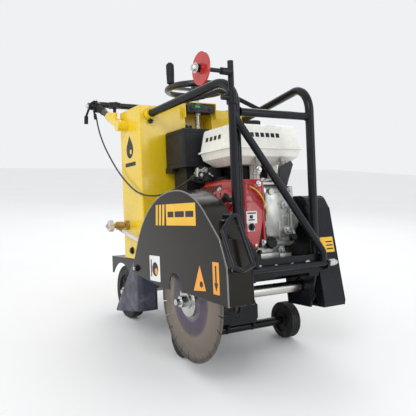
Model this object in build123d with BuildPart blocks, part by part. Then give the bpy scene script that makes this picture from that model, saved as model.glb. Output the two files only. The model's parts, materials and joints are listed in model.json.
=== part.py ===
from build123d import *
from math import atan2, cos, degrees, hypot, pi, radians, sin, sqrt, tan
import os

# Walk-behind concrete saw. Millimetres; +X forward, +Y the belt side, -Y the blade side, +Z up.
# Everything is drawn with the chassis level, then the chassis is tipped nose-up about the rear
# axle, which is how it stands on its wheels with the blade raised.

# ---- running gear ----
PITCH = 7.5
REAR_R = 100.0
REAR_WIDTH = 42.0
REAR_Y = 198.0
REAR_AXLE_D = 25.0
FRONT_R = 62.5
FRONT_WIDTH = 38.0
FRONT_Y = 203.0
FRONT_AXLE_D = 20.0
AXLE_X = 445.0
AXLE_Z = REAR_R + (FRONT_R - REAR_R - AXLE_X * sin(radians(PITCH))) / cos(radians(PITCH))
SWING_X = 300.0
SWING_Z = 92.0
RUN_FIT = 0.05

# ---- blade drive ----
SHAFT_X = 617.0
SHAFT_Z = 148.5
SHAFT_D = 35.0
BLADE_Y = -270.0
BLADE_R = 175.0
BLADE_T = 2.6
SEGMENTS = 24
CRANK_X = 557.0
CRANK_Z = 368.0
CRANK_D = 25.4
DRIVE_R = 42.0
DRIVEN_R = 54.0
BELT_PITCH = 19.0
BELT_YS = (169.0, 188.0, 207.0)

# ---- chassis ----
DECK_Z = 234.0
RAIL_IN = 100.0
RAIL_OUT = 138.0
PLATE_TOP = 235.5
TANK_X0 = 48.0
TANK_X1 = 233.0
TANK_Y = 238.0
TANK_TOP = 779.0
CAGE_D = 27.0
CAGE_X = 687.0
CAGE_Y = 138.0
SCREW_X = 225.0
NUT_Z = 120.5
HANDWHEEL_Z = 852.0

# ---- guard ----
GUARD_OUT = -318.0
GUARD_IN = -245.0
GUARD_T = 3.0
GUARD_PIVOT = (354.0, 225.0)

# ---- pointer ----
POINTER_X = 720.0
POINTER_Z = 226.0
POINTER_TUBE = 22.0

# ---- handlebar ----
BAR_Y = 257.0
BAR_X = -180.0
BAR_Z = 858.0
BAR_SLOPE = 25.0
BAR_D = 25.0


def level(y):
    """Plane at height y of the lateral axis, looking along -Y; local x is +X, local y is +Z."""
    return Plane.XZ.offset(-y)


def block(x0, x1, y0, y1, z0, z1, mode=Mode.ADD):
    with Locations(((x0 + x1) / 2, (y0 + y1) / 2, (z0 + z1) / 2)):
        Box(x1 - x0, y1 - y0, z1 - z0, mode=mode)


def slab(points, y0, y1, mode=Mode.ADD):
    """A flat plate with an XZ outline, between two Y planes."""
    with BuildSketch(level(y1)) as profile:
        with BuildLine():
            Polyline(*points, close=True)
        make_face()
    extrude(profile.sketch, amount=y1 - y0, mode=mode)


def disc(x, z, radius, y0, y1, mode=Mode.ADD):
    with BuildSketch(level(y1)) as profile:
        with Locations((x, z)):
            Circle(radius)
    extrude(profile.sketch, amount=y1 - y0, mode=mode)


def hexagon(x, z, across, y0, y1, mode=Mode.ADD):
    with BuildSketch(level(y1)) as profile:
        with Locations((x, z)):
            RegularPolygon(across / 2, 6, major_radius=False)
    extrude(profile.sketch, amount=y1 - y0, mode=mode)


def rod(a, b, radius, mode=Mode.ADD):
    start = Vector(*a)
    run = Vector(*b) - start
    with BuildSketch(Plane(origin=start, z_dir=run)) as profile:
        Circle(radius)
    extrude(profile.sketch, amount=run.length, mode=mode)


def bent_bar(points, bend, diameter):
    with BuildLine() as path:
        FilletPolyline(*points, radius=bend)
    with BuildSketch(Plane(origin=path.line @ 0, z_dir=path.line % 0)) as profile:
        Circle(diameter / 2)
    sweep(profile.sketch, path=path.line)


def route_radii(points):
    """Tangent-arc radii of a cord: 0.45 of the shorter run over the tangent of half the turn."""
    radii = []
    for before, here, after in zip(points, points[1:], points[2:]):
        run_in = Vector(*here) - Vector(*before)
        run_out = Vector(*after) - Vector(*here)
        turn = radians(run_in.get_angle(run_out))
        radii.append(round(0.45 * min(run_in.length, run_out.length) / tan(turn / 2), 1))
    return radii


def cord(points, diameter):
    radii = route_radii(points)
    print("cord radii", radii)
    with BuildLine() as path:
        FilletPolyline(*points, radius=radii)
    with BuildSketch(Plane(origin=path.line @ 0, z_dir=path.line % 0)) as profile:
        Circle(diameter / 2)
    sweep(profile.sketch, path=path.line)
    print("cord length", round(path.wires()[0].length, 1), "section x length",
          round(pi * diameter ** 2 / 4 * path.wires()[0].length, 0))


# ------------------------------------------------------------------ chassis
def make_chassis_frame():
    with BuildPart() as chassis_frame:
        for s in (-1, 1):
            block(-95, 701, min(s * RAIL_IN, s * RAIL_OUT), max(s * RAIL_IN, s * RAIL_OUT), 188, 230)
            # the rail is a channel, open inwards
            web = RAIL_OUT - 5
            hollow = sorted((s * (RAIL_IN - 1), s * web))
            block(-90, 696, *hollow, 193, 225, Mode.SUBTRACT)
            # side skirt behind the tank, arched over the rear wheel
            slab(((-97, 168), (-97, 230), (150, 230), (150, 190), (112, 168)),
                 min(s * 231, s * 235), max(s * 231, s * 235))
            disc(0, 100, 112, min(s * 231, s * 235), max(s * 231, s * 235), Mode.SUBTRACT)
            # rear axle plate and shaft bearing plate under the rail
            slab(((-34, 188), (-22, 78), (22, 78), (34, 188)), min(s * 122, s * 130), max(s * 122, s * 130))
            slab(((545, 188), (556, 86), (664, 86), (692, 188)), min(s * 130, s * 138), max(s * 130, s * 138))
            # swing pivot lug
            slab(((276, 190), (280, 74), (320, 74), (324, 190)), min(s * 84, s * 92), max(s * 84, s * 92))
        block(-97, TANK_X1 + 3, -235, 235, 230, DECK_Z)
        block(-95, -71, -RAIL_IN, RAIL_IN, 192, 230)
        block(276, 324, -RAIL_IN, RAIL_IN, 190, 226)
        block(584, 592, -RAIL_IN, RAIL_IN, 188, 212)
        block(584, 589, -130, 130, 172, 190)
        # clearance for the depth screw and bearings
        rod((SCREW_X, 0, 200), (SCREW_X, 0, 240), 14, Mode.SUBTRACT)
        for s in (-1, 1):
            disc(0, REAR_R, REAR_AXLE_D / 2, min(s * 120, s * 132), max(s * 120, s * 132), Mode.SUBTRACT)
            disc(SHAFT_X, SHAFT_Z, 26, min(s * 128, s * 140), max(s * 128, s * 140), Mode.SUBTRACT)
            disc(SWING_X, SWING_Z, 10 + RUN_FIT, min(s * 80, s * 95), max(s * 80, s * 95), Mode.SUBTRACT)
    return chassis_frame.part


def make_front_crossmember():
    with BuildPart() as front_crossmember:
        block(701, 707, -150, 160, 200, 255)
        block(690, 701, -150, 152, 236, 242)
        # lugs that carry the pointer pivot
        for y in (-134, 152):
            slab(((707, 205), (728, 212), (733, 232), (707, 246)), y, y + 8)
            disc(POINTER_X, POINTER_Z, 6.05, y, y + 8, Mode.SUBTRACT)
    return front_crossmember.part


def make_engine_plate():
    with BuildPart() as engine_plate:
        block(240, 689, -137.5, 148, 230, PLATE_TOP)
    return engine_plate.part


def make_water_tank():
    outline = ((TANK_X0, -TANK_Y), (TANK_X1, -TANK_Y), (TANK_X1, -56), (168, -56), (168, 56),
               (TANK_X1, 56), (TANK_X1, TANK_Y), (TANK_X0, TANK_Y))
    with BuildPart() as water_tank:
        with BuildSketch(Plane.XY.offset(DECK_Z)):
            with BuildLine():
                Polyline(*outline, close=True)
            make_face()
        extrude(amount=TANK_TOP - DECK_Z)
        # folded sheet corners
        fillet(water_tank.edges().filter_by(Axis.Z).group_by(Axis.Y)[0], radius=6)
        fillet(water_tank.edges().filter_by(Axis.Z).group_by(Axis.Y)[-1], radius=6)
        # welded sockets that take the roll hoops
        for s in (-1, 1):
            rod((TANK_X1 - 1, s * 200.1, 748), (TANK_X1 + 18, s * 197.5, 749.4), 20)
            rod((TANK_X1 + 0.5, s * 200, 748), (TANK_X1 + 30, s * 195.9, 750.2), 13.8, Mode.SUBTRACT)
        # the water space
        with BuildSketch(Plane.XY.offset(DECK_Z + 3)):
            with BuildLine():
                Polyline(*outline, close=True)
            make_face()
            offset(amount=-3, kind=Kind.INTERSECTION)
        extrude(amount=TANK_TOP - DECK_Z - 6, mode=Mode.SUBTRACT)
    return water_tank.part


def make_screw_hood():
    with BuildPart() as screw_hood:
        block(150, 254, -66, 66, TANK_TOP, TANK_TOP + 20)
        block(147, 256, -63, 63, TANK_TOP - 1, TANK_TOP + 17, Mode.SUBTRACT)
        for s in (-1, 1):
            block(TANK_X1, 254, min(s * 63, s * 66), max(s * 63, s * 66), 742, TANK_TOP + 20)
        rod((SCREW_X, 0, TANK_TOP + 10), (SCREW_X, 0, TANK_TOP + 30), 16, Mode.SUBTRACT)
    return screw_hood.part


def make_screw_bearing_block():
    with BuildPart() as screw_bearing_block:
        block(206, 254, -56, 56, 764, 790)
        rod((SCREW_X, 0, 760), (SCREW_X, 0, 800), 9 + RUN_FIT, Mode.SUBTRACT)
        # two bolt heads on the front and the side straps
        for y in (-38, 38):
            rod((254, y, 777), (259, y, 777), 6)
    return screw_bearing_block.part


def make_roll_hoop(side):
    y0 = side * 200
    y1 = side * CAGE_Y
    with BuildPart() as roll_hoop:
        bent_bar(((TANK_X1 + 2.2, y0, 748), (CAGE_X, y1, 782), (CAGE_X, y1, 244)), 78, CAGE_D)
        # foot plate on the engine plate
        block(CAGE_X - 14, CAGE_X + 14, y1 - 12, y1 + 8, 242, 246)
    return roll_hoop.part


def make_cage_bars():
    """The cross bar between the legs and the lifting bow between the side tubes."""
    reach = CAGE_Y - CAGE_D / 2
    with BuildPart() as cage_bars:
        rod((CAGE_X, -reach, 680), (CAGE_X, reach, 680), 12)
        bent_bar(((388, -165.8, 762.8), (388, -66, 788), (385, 0, 816), (382, 60, 800), (378.4, 167.5, 763.2)), 30, 16)
    return cage_bars.part


def make_rear_axle():
    with BuildPart() as rear_axle:
        rod((0, -REAR_Y - 32, REAR_R), (0, REAR_Y + 32, REAR_R), REAR_AXLE_D / 2)
        for s in (-1, 1):
            rod((0, s * (REAR_Y - 25), REAR_R), (0, s * 132, REAR_R), 18)
            rod((0, s * (REAR_Y + 23), REAR_R), (0, s * (REAR_Y + 27), REAR_R), 19)
    return rear_axle.part


def make_shaft_bearings():
    with BuildPart() as shaft_bearings:
        for s in (-1, 1):
            with BuildSketch(level(s * 138.0)) as flange:
                with Locations((SHAFT_X, SHAFT_Z)):
                    RectangleRounded(96, 96, 14)
                    with GridLocations(70, 70, 2, 2):
                        Circle(5.5, mode=Mode.SUBTRACT)
            extrude(flange.sketch, amount=-12.0 * s)
            disc(SHAFT_X, SHAFT_Z, 35, min(s * 138, s * 158), max(s * 138, s * 158))
            disc(SHAFT_X, SHAFT_Z, SHAFT_D / 2 + RUN_FIT, min(s * 136, s * 160), max(s * 136, s * 160),
                 Mode.SUBTRACT)
            for dx in (-35, 35):
                for dz in (-35, 35):
                    disc(SHAFT_X + dx, SHAFT_Z + dz, 5.5, min(s * 138, s * 150), max(s * 138, s * 150))
                    hexagon(SHAFT_X + dx, SHAFT_Z + dz, 16, min(s * 150, s * 152.6), max(s * 150, s * 152.6))
    return shaft_bearings.part


def make_belt_guard():
    outline = ((492, 437), (622, 437), (648, 396), (704, 100), (701, 86), (558, 86), (546, 100), (470, 402))
    with BuildPart() as belt_guard:
        slab(outline, 155, 240)
        fillet(belt_guard.edges().filter_by(Axis.Y).group_by(Axis.Z)[-1], radius=34)
        with BuildSketch(level(237)) as cavity:
            with BuildLine():
                Polyline(*outline, close=True)
            make_face()
            offset(amount=-3)
        extrude(cavity.sketch, amount=79, mode=Mode.SUBTRACT)
        disc(CRANK_X, CRANK_Z, 40, 150, 160, Mode.SUBTRACT)
        block(SHAFT_X - 52, SHAFT_X + 52, 150, 160, SHAFT_Z - 52, SHAFT_Z + 52, Mode.SUBTRACT)
        # mounting tabs to the bearing plate and the engine plate
        block(655, 690, 138.0, 155, 196, 202)
        block(556, 584, 138.0, 155, 210, 216)
    return belt_guard.part


def make_drive_belts():
    dx = SHAFT_X - CRANK_X
    dz = SHAFT_Z - CRANK_Z
    span = hypot(dx, dz)
    run = degrees(atan2(dz, dx))
    with BuildPart() as drive_belts:
        for y in BELT_YS:
            with BuildSketch(level(y + 8.0)) as loop:
                with BuildLine():
                    half = degrees(atan2(sqrt(span ** 2 - (DRIVEN_R - DRIVE_R) ** 2), DRIVEN_R - DRIVE_R))
                    CenterArc((CRANK_X, CRANK_Z), DRIVE_R, run + 180 - half, 2 * half)
                    CenterArc((SHAFT_X, SHAFT_Z), DRIVEN_R, run + 180 + half, 360 - 2 * half)
                    a0 = radians(run + 180 - half)
                    a1 = radians(run + 180 + half)
                    Line((CRANK_X + DRIVE_R * cos(a0), CRANK_Z + DRIVE_R * sin(a0)),
                         (SHAFT_X + DRIVEN_R * cos(a0), SHAFT_Z + DRIVEN_R * sin(a0)))
                    Line((CRANK_X + DRIVE_R * cos(a1), CRANK_Z + DRIVE_R * sin(a1)),
                         (SHAFT_X + DRIVEN_R * cos(a1), SHAFT_Z + DRIVEN_R * sin(a1)))
                make_face()
                offset(amount=-10.0, mode=Mode.SUBTRACT)
            extrude(loop.sketch, amount=16.0)
    return drive_belts.part


def grooved_pulley(x, z, radius, bore, y0, y1):
    """A V pulley: rim radius just inside the belt top, a groove under each belt."""
    disc(x, z, radius - 2.0, y0, y1)
    for y in BELT_YS:
        with BuildSketch(level(y + 8.4)) as groove:
            with Locations((x, z)):
                Circle(radius + 2)
                Circle(radius - 10.4, mode=Mode.SUBTRACT)
        extrude(groove.sketch, amount=16.8, mode=Mode.SUBTRACT)
    disc(x, z, bore, y0 - 1, y1 + 1, Mode.SUBTRACT)


def make_guard_mount_bar():
    x, z = GUARD_PIVOT
    with BuildPart() as guard_mount_bar:
        disc(x, z, 8, -320.4, -RAIL_OUT)
        disc(x, z, 12, -320.4, -318.4)
        hexagon(x, z, 17, -326, -320.4)
        block(x - 22, x + 22, -148, -RAIL_OUT, 190, 229.5)
    return guard_mount_bar.part


# ------------------------------------------------------------------ water
VALVE = (93.0, 358.0)
HOSE = ((112.0, -266.0, 338.0), (138.0, -258.0, 326.0), (172.0, -254.0, 316.0), (210.0, -250.0, 307.0),
        (252.0, -244.0, 297.0), (300.0, -233.0, 287.0), (350.0, -226.0, 276.0), (395.0, -223.0, 268.0),
        (430.0, -222.0, 263.0))
HOSE_D = 13.5


def make_valve_body():
    x, z = VALVE
    with BuildPart() as valve_body:
        disc(x, z, 18, -246, -TANK_Y)
        disc(x, z, 11, -262, -246)
        disc(x, z, 15, -284, -260)
        disc(x, z, 9, -298, -284)
        rod((95, -271.2, 345.9), HOSE[0], 7.5)
    return valve_body.part


def make_valve_handle():
    x, z = VALVE
    with BuildPart() as valve_handle:
        with BuildSketch(level(-298.4)) as knob:
            with Locations((x, z)):
                Circle(21)
                with PolarLocations(23, 6):
                    Circle(5, mode=Mode.SUBTRACT)
        extrude(knob.sketch, amount=15)
        disc(x, z, 10, -318, -313)
    return valve_handle.part


def make_spray_pipe():
    with BuildPart() as spray_pipe:
        bent_bar((HOSE[-1], (465, -221, 258), (560, -224, 250), (592, -238, 236)), 12, 10)
        block(470, 492, -227, -214, 248, 264)
        block(470, 492, -214, -138, 258, 264)
        block(470, 492, -142, -138, 200, 264)
    return spray_pipe.part


def make_water_hose():
    with BuildPart() as water_hose:
        cord(HOSE, HOSE_D)
    return water_hose.part


# ------------------------------------------------------------------ engine
def make_crankcase():
    with BuildPart() as crankcase:
        block(470, 600, -2, 124, 279, 478)
        fillet(crankcase.edges().filter_by(Axis.Y).group_by(Axis.Z)[-1], radius=34)
        fillet(crankcase.edges().filter_by(Axis.Z).group_by(Axis.X)[-1], radius=14)
        block(454, 620, -30, 94, PLATE_TOP, 250)
        block(474, 600, -24, 88, 250, 279)
        disc(CRANK_X, CRANK_Z, 62, 124, 136)
        disc(CRANK_X, CRANK_Z, 36, 136, 148)
        block(520, 590, 124, 130, 420, 446)
        disc(CRANK_X, CRANK_Z, CRANK_D / 2 + RUN_FIT, -40, 150, Mode.SUBTRACT)
        # oil filler neck low on the front
        rod((600, 20, 286), (616, 20, 292), 13)
        block(596, 606, -4, 12, 362, 378)
        rod((600, 58, 262), (606, 58, 262), 9)
    return crankcase.part


CYL = Plane(origin=(470, 52, 372), x_dir=(0, 1, 0), z_dir=(-cos(radians(25)), 0, sin(radians(25))))


def make_cylinder():
    with BuildPart() as cylinder:
        with BuildSketch(CYL.offset(-4)) as barrel:
            RectangleRounded(88, 84, 16)
        extrude(barrel.sketch, amount=122)
        for k in range(11):
            with BuildSketch(CYL.offset(8 + 9 * k)) as fin:
                RectangleRounded(124, 116, 12)
            extrude(fin.sketch, amount=3)
        block(470, 620, -40, 140, 236, 480, Mode.SUBTRACT)
        # head and rocker cover
        with BuildSketch(CYL.offset(118)) as base:
            RectangleRounded(96, 88, 14)
        extrude(base.sketch, amount=6)
        with BuildSketch(CYL.offset(124)) as cover:
            RectangleRounded(84, 76, 18)
        extrude(cover.sketch, amount=24, taper=8)
    return cylinder.part


def make_fan_shroud():
    outline = ((650, 282), (650, 474), (636, 490), (520, 497), (426, 492), (364, 468), (360, 450),
               (400, 380), (446, 290), (480, 256), (520, 246), (610, 250))
    with BuildPart() as fan_shroud:
        slab(outline, -97, -22)
        fillet(fan_shroud.faces().sort_by(Axis.Y)[0].edges(), radius=14)
        slab(((640, 290), (642, 470), (520, 488), (430, 482), (376, 458), (412, 380), (456, 296), (490, 264),
              (610, 262)), -92, -20, Mode.SUBTRACT)
        # the open side leans away from the crankcase lower down
        with BuildSketch(Plane.YZ.offset(340)) as lean:
            with BuildLine():
                Polyline((-20, 405), (-60, 240), (-10, 240), (-10, 405), close=True)
            make_face()
        extrude(lean.sketch, amount=320, mode=Mode.SUBTRACT)
        # cooling slots in the outer face above the starter
        for k in range(4):
            x = 418 + 17 * k
            slab(((x, 452), (x + 6, 452), (x + 16, 476), (x + 10, 476)), -100, -90, Mode.SUBTRACT)
    return fan_shroud.part


def make_recoil_cover():
    with BuildPart() as recoil_cover:
        with BuildSketch(level(-97.0)) as base:
            with Locations((CRANK_X, CRANK_Z)):
                Circle(102)
        extrude(base.sketch, amount=22, taper=14)
        disc(CRANK_X, CRANK_Z, 62, -130, -119)
        # sunburst of cooling slots
        with BuildSketch(level(-119.0)) as slots:
            with Locations((CRANK_X, CRANK_Z)):
                with PolarLocations(79, 20):
                    SlotOverall(20, 6)
        extrude(slots.sketch, amount=-24, mode=Mode.SUBTRACT)
        # rope guide
        disc(CRANK_X + 62, CRANK_Z + 62, 13, -122, -100)
    return recoil_cover.part


TANK_MID = (494.0, 44.0)
TANK_SEAM = 592.0


def make_fuel_tank():
    with BuildPart() as fuel_tank:
        with BuildSketch(Plane.XY.offset(TANK_SEAM)) as upper:
            with Locations(TANK_MID):
                RectangleRounded(210, 282, 22)
        extrude(upper.sketch, amount=76, taper=12)
        fillet(fuel_tank.faces().sort_by(Axis.Z)[-1].edges(), radius=12)
        with BuildSketch(Plane.XY.offset(TANK_SEAM)) as lower:
            with Locations(TANK_MID):
                RectangleRounded(210, 282, 22)
        extrude(lower.sketch, amount=-26, taper=20)
        with BuildSketch(Plane.XY.offset(TANK_SEAM - 26)) as bottom:
            with Locations(TANK_MID):
                RectangleRounded(191, 263, 14)
        extrude(bottom.sketch, amount=-24, taper=52)
        # rolled seam
        with BuildSketch(Plane.XY.offset(TANK_SEAM - 3)) as seam:
            with Locations(TANK_MID):
                RectangleRounded(222, 294, 26)
        extrude(seam.sketch, amount=5)
        rod((500, 48, 655), (500, 48, 676), 24)
        # tank stays down to the crankcase
        for y in (20, 92):
            block(520, 548, y, y + 20, 478, 560)
    return fuel_tank.part


def make_fuel_cap():
    with BuildPart() as fuel_cap:
        with BuildSketch(Plane.XY.offset(676.4)) as knurl:
            with Locations((500, 48)):
                Circle(31)
                with PolarLocations(32, 12):
                    Circle(3, mode=Mode.SUBTRACT)
        extrude(knurl.sketch, amount=14)
    return fuel_cap.part


def make_air_cleaner():
    with BuildPart() as air_cleaner:
        block(238, 379, -146, -30, 550, 682)
        fillet(air_cleaner.edges().filter_by(Axis.Z), radius=12)
        fillet(air_cleaner.faces().sort_by(Axis.Z)[-1].edges(), radius=10)
        block(239, 290, -146, -118, 538, 556)
        # intake duct underneath
        block(262, 352, -123.6, -52, 470, 552)
        rod((312, -86, 680), (312, -86, 690), 9)
    return air_cleaner.part


def make_carburettor():
    with BuildPart() as carburettor:
        # body, bowl and the flange to the cylinder
        block(352, 396, -90, -56, 498, 546)
        rod((372, -73, 500), (372, -73, 496), 18)
        block(356, 380, -60, -26, 502, 534)
        # cable bracket and throttle arm
        block(352, 392, -96, -92, 500, 520)
        block(378, 392, -121, -92, 504, 520)
    return carburettor.part


def make_muffler():
    with BuildPart() as muffler:
        block(256, 376, -24, 152, 552, 664)
        fillet(muffler.edges().filter_by(Axis.Y), radius=16)
        rod((330, 40, 552), (340, 40, 508), 17)
        rod((256, 100, 600), (242, 100, 600), 11)
        # silencer space
        block(258, 374, -22, 150, 568, 648, Mode.SUBTRACT)
    return muffler.part


def make_engine_bolts():
    with BuildPart() as engine_bolts:
        for x in (463, 611):
            for y in (-18, 82):
                with Locations((x, y, 253.5)):
                    Cylinder(8, 7)
                with Locations((x, y, 259)):
                    Cylinder(4.5, 5)
    return engine_bolts.part


# ------------------------------------------------------------------ blade shaft
def make_blade_shaft():
    with BuildPart() as blade_shaft:
        disc(SHAFT_X, SHAFT_Z, SHAFT_D / 2, -262, 218)
        disc(SHAFT_X, SHAFT_Z, 12.7, -279.5, -262)
    return blade_shaft.part


def make_blade_flanges():
    with BuildPart() as blade_flanges:
        disc(SHAFT_X, SHAFT_Z, 45, -268.7, -258)
        disc(SHAFT_X, SHAFT_Z, 24, -258, -246)
        disc(SHAFT_X, SHAFT_Z, 45, -280.0, -271.3)
        disc(SHAFT_X, SHAFT_Z, 12.7, -282, -262, Mode.SUBTRACT)
        disc(SHAFT_X, SHAFT_Z, SHAFT_D / 2, -262, -244, Mode.SUBTRACT)
        # drive pin through the blade
        disc(SHAFT_X + 30, SHAFT_Z, 4.0, -272, -268)
    return blade_flanges.part


def make_saw_blade():
    rim = BLADE_R
    with BuildPart() as saw_blade:
        with BuildSketch(level(BLADE_Y + BLADE_T / 2)) as body:
            with Locations((SHAFT_X, SHAFT_Z)):
                Circle(rim - 8)
                with PolarLocations(rim - 12, SEGMENTS, start_angle=7.5):
                    SlotOverall(22, 3, rotation=0, mode=Mode.SUBTRACT)
                with PolarLocations(rim - 22, SEGMENTS, start_angle=7.5):
                    Circle(3.2, mode=Mode.SUBTRACT)
                Circle(12.7, mode=Mode.SUBTRACT)
            with Locations((SHAFT_X + 30, SHAFT_Z)):
                Circle(4.0, mode=Mode.SUBTRACT)
        extrude(body.sketch, amount=BLADE_T)
        # diamond segments, a little thicker than the core
        with BuildSketch(level(BLADE_Y + 1.6)) as teeth:
            with Locations((SHAFT_X, SHAFT_Z)):
                Circle(rim)
                Circle(rim - 8.2, mode=Mode.SUBTRACT)
                with PolarLocations(rim - 4, SEGMENTS, start_angle=7.5):
                    Rectangle(12, 3.4, mode=Mode.SUBTRACT)
        extrude(teeth.sketch, amount=3.2)
    return saw_blade.part


def make_arbor_bolt():
    with BuildPart() as arbor_bolt:
        disc(SHAFT_X, SHAFT_Z, 22, -283.5, -280.0)
        hexagon(SHAFT_X, SHAFT_Z, 30, -303, -283.5)
        disc(SHAFT_X, SHAFT_Z, 9, -317, -303)
    return arbor_bolt.part


def make_driven_pulley():
    with BuildPart() as driven_pulley:
        grooved_pulley(SHAFT_X, SHAFT_Z, DRIVEN_R, SHAFT_D / 2, 159, 217)
    return driven_pulley.part


def make_crankshaft():
    with BuildPart() as crankshaft:
        disc(CRANK_X, CRANK_Z, CRANK_D / 2, -60, 218)
        disc(CRANK_X, CRANK_Z, 78, -86, -60)
    return crankshaft.part


def make_drive_pulley():
    with BuildPart() as drive_pulley:
        grooved_pulley(CRANK_X, CRANK_Z, DRIVE_R, CRANK_D / 2, 159, 217)
    return drive_pulley.part


# ------------------------------------------------------------------ depth control
def make_swing_frame():
    with BuildPart() as swing_frame:
        disc(SWING_X, SWING_Z, 17, -83.6, 83.6)
        for s in (-1, 1):
            slab(((288, 108), (284, 78), (330, 70), (428, -6), (456, -10), (480, 34), (480, 80), (468, 100),
                  (340, 108)), min(s * 47, s * 55), max(s * 47, s * 55))
            slab(((300, 108), (244, 142), (206, 150), (196, 118), (240, 94), (290, 76), (304, 76)),
                 min(s * 27, s * 35), max(s * 27, s * 35))
        with BuildSketch(Plane.YZ.offset(478)) as front_plate:
            with BuildLine():
                Polyline((-55, 34), (55, 34), (55, 80), (43, 90), (-43, 90), (-55, 80), close=True)
            make_face()
        extrude(front_plate.sketch, amount=8)
        block(470, 480, -55, 55, 20, 36)
        block(330, 470, -47, 47, 98, 104)
        rod((AXLE_X, -FRONT_Y + 21, AXLE_Z), (AXLE_X, FRONT_Y - 21, AXLE_Z), 15)
        rod((AXLE_X, -FRONT_Y - 27, AXLE_Z), (AXLE_X, FRONT_Y + 27, AXLE_Z), FRONT_AXLE_D / 2)
        for s in (-1, 1):
            rod((AXLE_X, s * (FRONT_Y + 19.6), AXLE_Z), (AXLE_X, s * (FRONT_Y + 23), AXLE_Z), 16)
            # slot in the lever for the nut trunnion, which draws 5 mm nearer the pivot in mid-travel
            with BuildSketch(level(s * 31 + 6)) as slot:
                with Locations(Location((SCREW_X - 0.5, NUT_Z + 0.2, 0), (0, 0, -20.8))):
                    SlotCenterToCenter(14.4, 18.4)
            extrude(slot.sketch, amount=12, mode=Mode.SUBTRACT)
        disc(SWING_X, SWING_Z, 10 + RUN_FIT, -84, 84, Mode.SUBTRACT)
        block(196, 262, -26.9, 26.9, 60, 150, Mode.SUBTRACT)
    return swing_frame.part


def make_depth_screw():
    with BuildPart() as depth_screw:
        rod((SCREW_X, 0, 44), (SCREW_X, 0, 838), 9)
        rod((SCREW_X, 0, 790.3), (SCREW_X, 0, 798), 14)
        rod((SCREW_X, 0, 756), (SCREW_X, 0, 763.7), 14)
    return depth_screw.part


def make_depth_nut():
    with BuildPart() as depth_nut:
        block(SCREW_X - 18, SCREW_X + 18, -22, 22, NUT_Z - 14, NUT_Z + 14)
        for s in (-1, 1):
            rod((SCREW_X, s * 22, NUT_Z), (SCREW_X, s * 39, NUT_Z), 8)
        rod((SCREW_X, 0, NUT_Z - 15), (SCREW_X, 0, NUT_Z + 15), 9.1, Mode.SUBTRACT)
    return depth_nut.part


def make_handwheel():
    with BuildPart() as handwheel:
        with BuildSketch(Plane.XZ) as ring:
            with Locations((SCREW_X + 106, HANDWHEEL_Z)):
                Circle(12)
        revolve(ring.sketch, axis=Axis((SCREW_X, 0, 0), (0, 0, 1)))
        with Locations((SCREW_X, 0, HANDWHEEL_Z - 2)):
            with PolarLocations(57, 3, start_angle=30):
                Box(92, 16, 9)
        rod((SCREW_X, 0, HANDWHEEL_Z - 22), (SCREW_X, 0, HANDWHEEL_Z + 14), 20)
        rod((SCREW_X, 0, HANDWHEEL_Z - 30), (SCREW_X, 0, 838), 9, Mode.SUBTRACT)
        # spindle of the turning grip
        rod((SCREW_X, -106, HANDWHEEL_Z + 8), (SCREW_X, -106, HANDWHEEL_Z + 86), 5)
        rod((SCREW_X, -106, HANDWHEEL_Z + 86), (SCREW_X, -106, HANDWHEEL_Z + 89), 8)
    return handwheel.part


def make_handwheel_grip():
    with BuildPart() as handwheel_grip:
        with BuildSketch(Plane(origin=(SCREW_X, -106, HANDWHEEL_Z), x_dir=(1, 0, 0), z_dir=(0, -1, 0))) as half:
            with BuildLine():
                Polyline((5.1, 13.5), (12.5, 13.5), (13.5, 16), (14.5, 50), (14.5, 80), (12, 85), (5.1, 85),
                         (5.1, 13.5))
            make_face()
        revolve(half.sketch, axis=Axis((SCREW_X, -106, 0), (0, 0, 1)))
    return handwheel_grip.part


# ------------------------------------------------------------------ blade guard
GUARD_TOP = ((631, 459), (728, 442), (800, 395))
GUARD_REAR = ((375, 318), (515, 436), (631, 459))


def guard_profile(y, shrink=0.0):
    with BuildSketch(level(y)) as profile:
        with BuildLine():
            ThreePointArc(*GUARD_REAR)
            ThreePointArc(*GUARD_TOP)
            Polyline((800, 395), (866, 329), (893, 262), (895, 171), (706, 181), (542, 179), (487, 187),
                     (318, 209), (331, 243), (375, 318))
        make_face()
        if shrink > 0:
            offset(amount=-shrink, kind=Kind.INTERSECTION)
    return profile.sketch


def make_blade_guard():
    with BuildPart() as blade_guard:
        extrude(guard_profile(GUARD_IN), amount=GUARD_IN - GUARD_OUT)
        # hollow and open underneath and on the machine side, with a return lip inside the rim
        extrude(guard_profile(GUARD_IN - 3, GUARD_T), amount=GUARD_IN - 3 - GUARD_OUT - GUARD_T, mode=Mode.SUBTRACT)
        slab(((323, 228), (487, 206), (542, 198), (706, 200), (892, 190), (892, 140), (323, 140)),
             GUARD_OUT + GUARD_T, GUARD_IN + 1, Mode.SUBTRACT)
        extrude(guard_profile(GUARD_IN + 1, 24), amount=6, mode=Mode.SUBTRACT)
        slab(((336, 140), (336, 262), (480, 240), (868, 240), (868, 140)), GUARD_IN - 4, GUARD_IN + 1, Mode.SUBTRACT)
        # arbor notch in the outer plate
        with BuildSketch(level(GUARD_OUT + GUARD_T + 1)) as notch:
            with Locations((620, 185)):
                SlotOverall(92, 70, rotation=90)
        extrude(notch.sketch, amount=8, mode=Mode.SUBTRACT)
        # pivot boss, and the slot at the rear corner that the flap hangs in
        disc(*GUARD_PIVOT, 16, GUARD_OUT, GUARD_OUT + 12)
        disc(*GUARD_PIVOT, 8 + RUN_FIT, GUARD_OUT - 2, GUARD_OUT + 20, Mode.SUBTRACT)
        block(300, 336, GUARD_OUT + GUARD_T, GUARD_OUT + 9, 150, 252, Mode.SUBTRACT)
    return blade_guard.part


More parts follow.
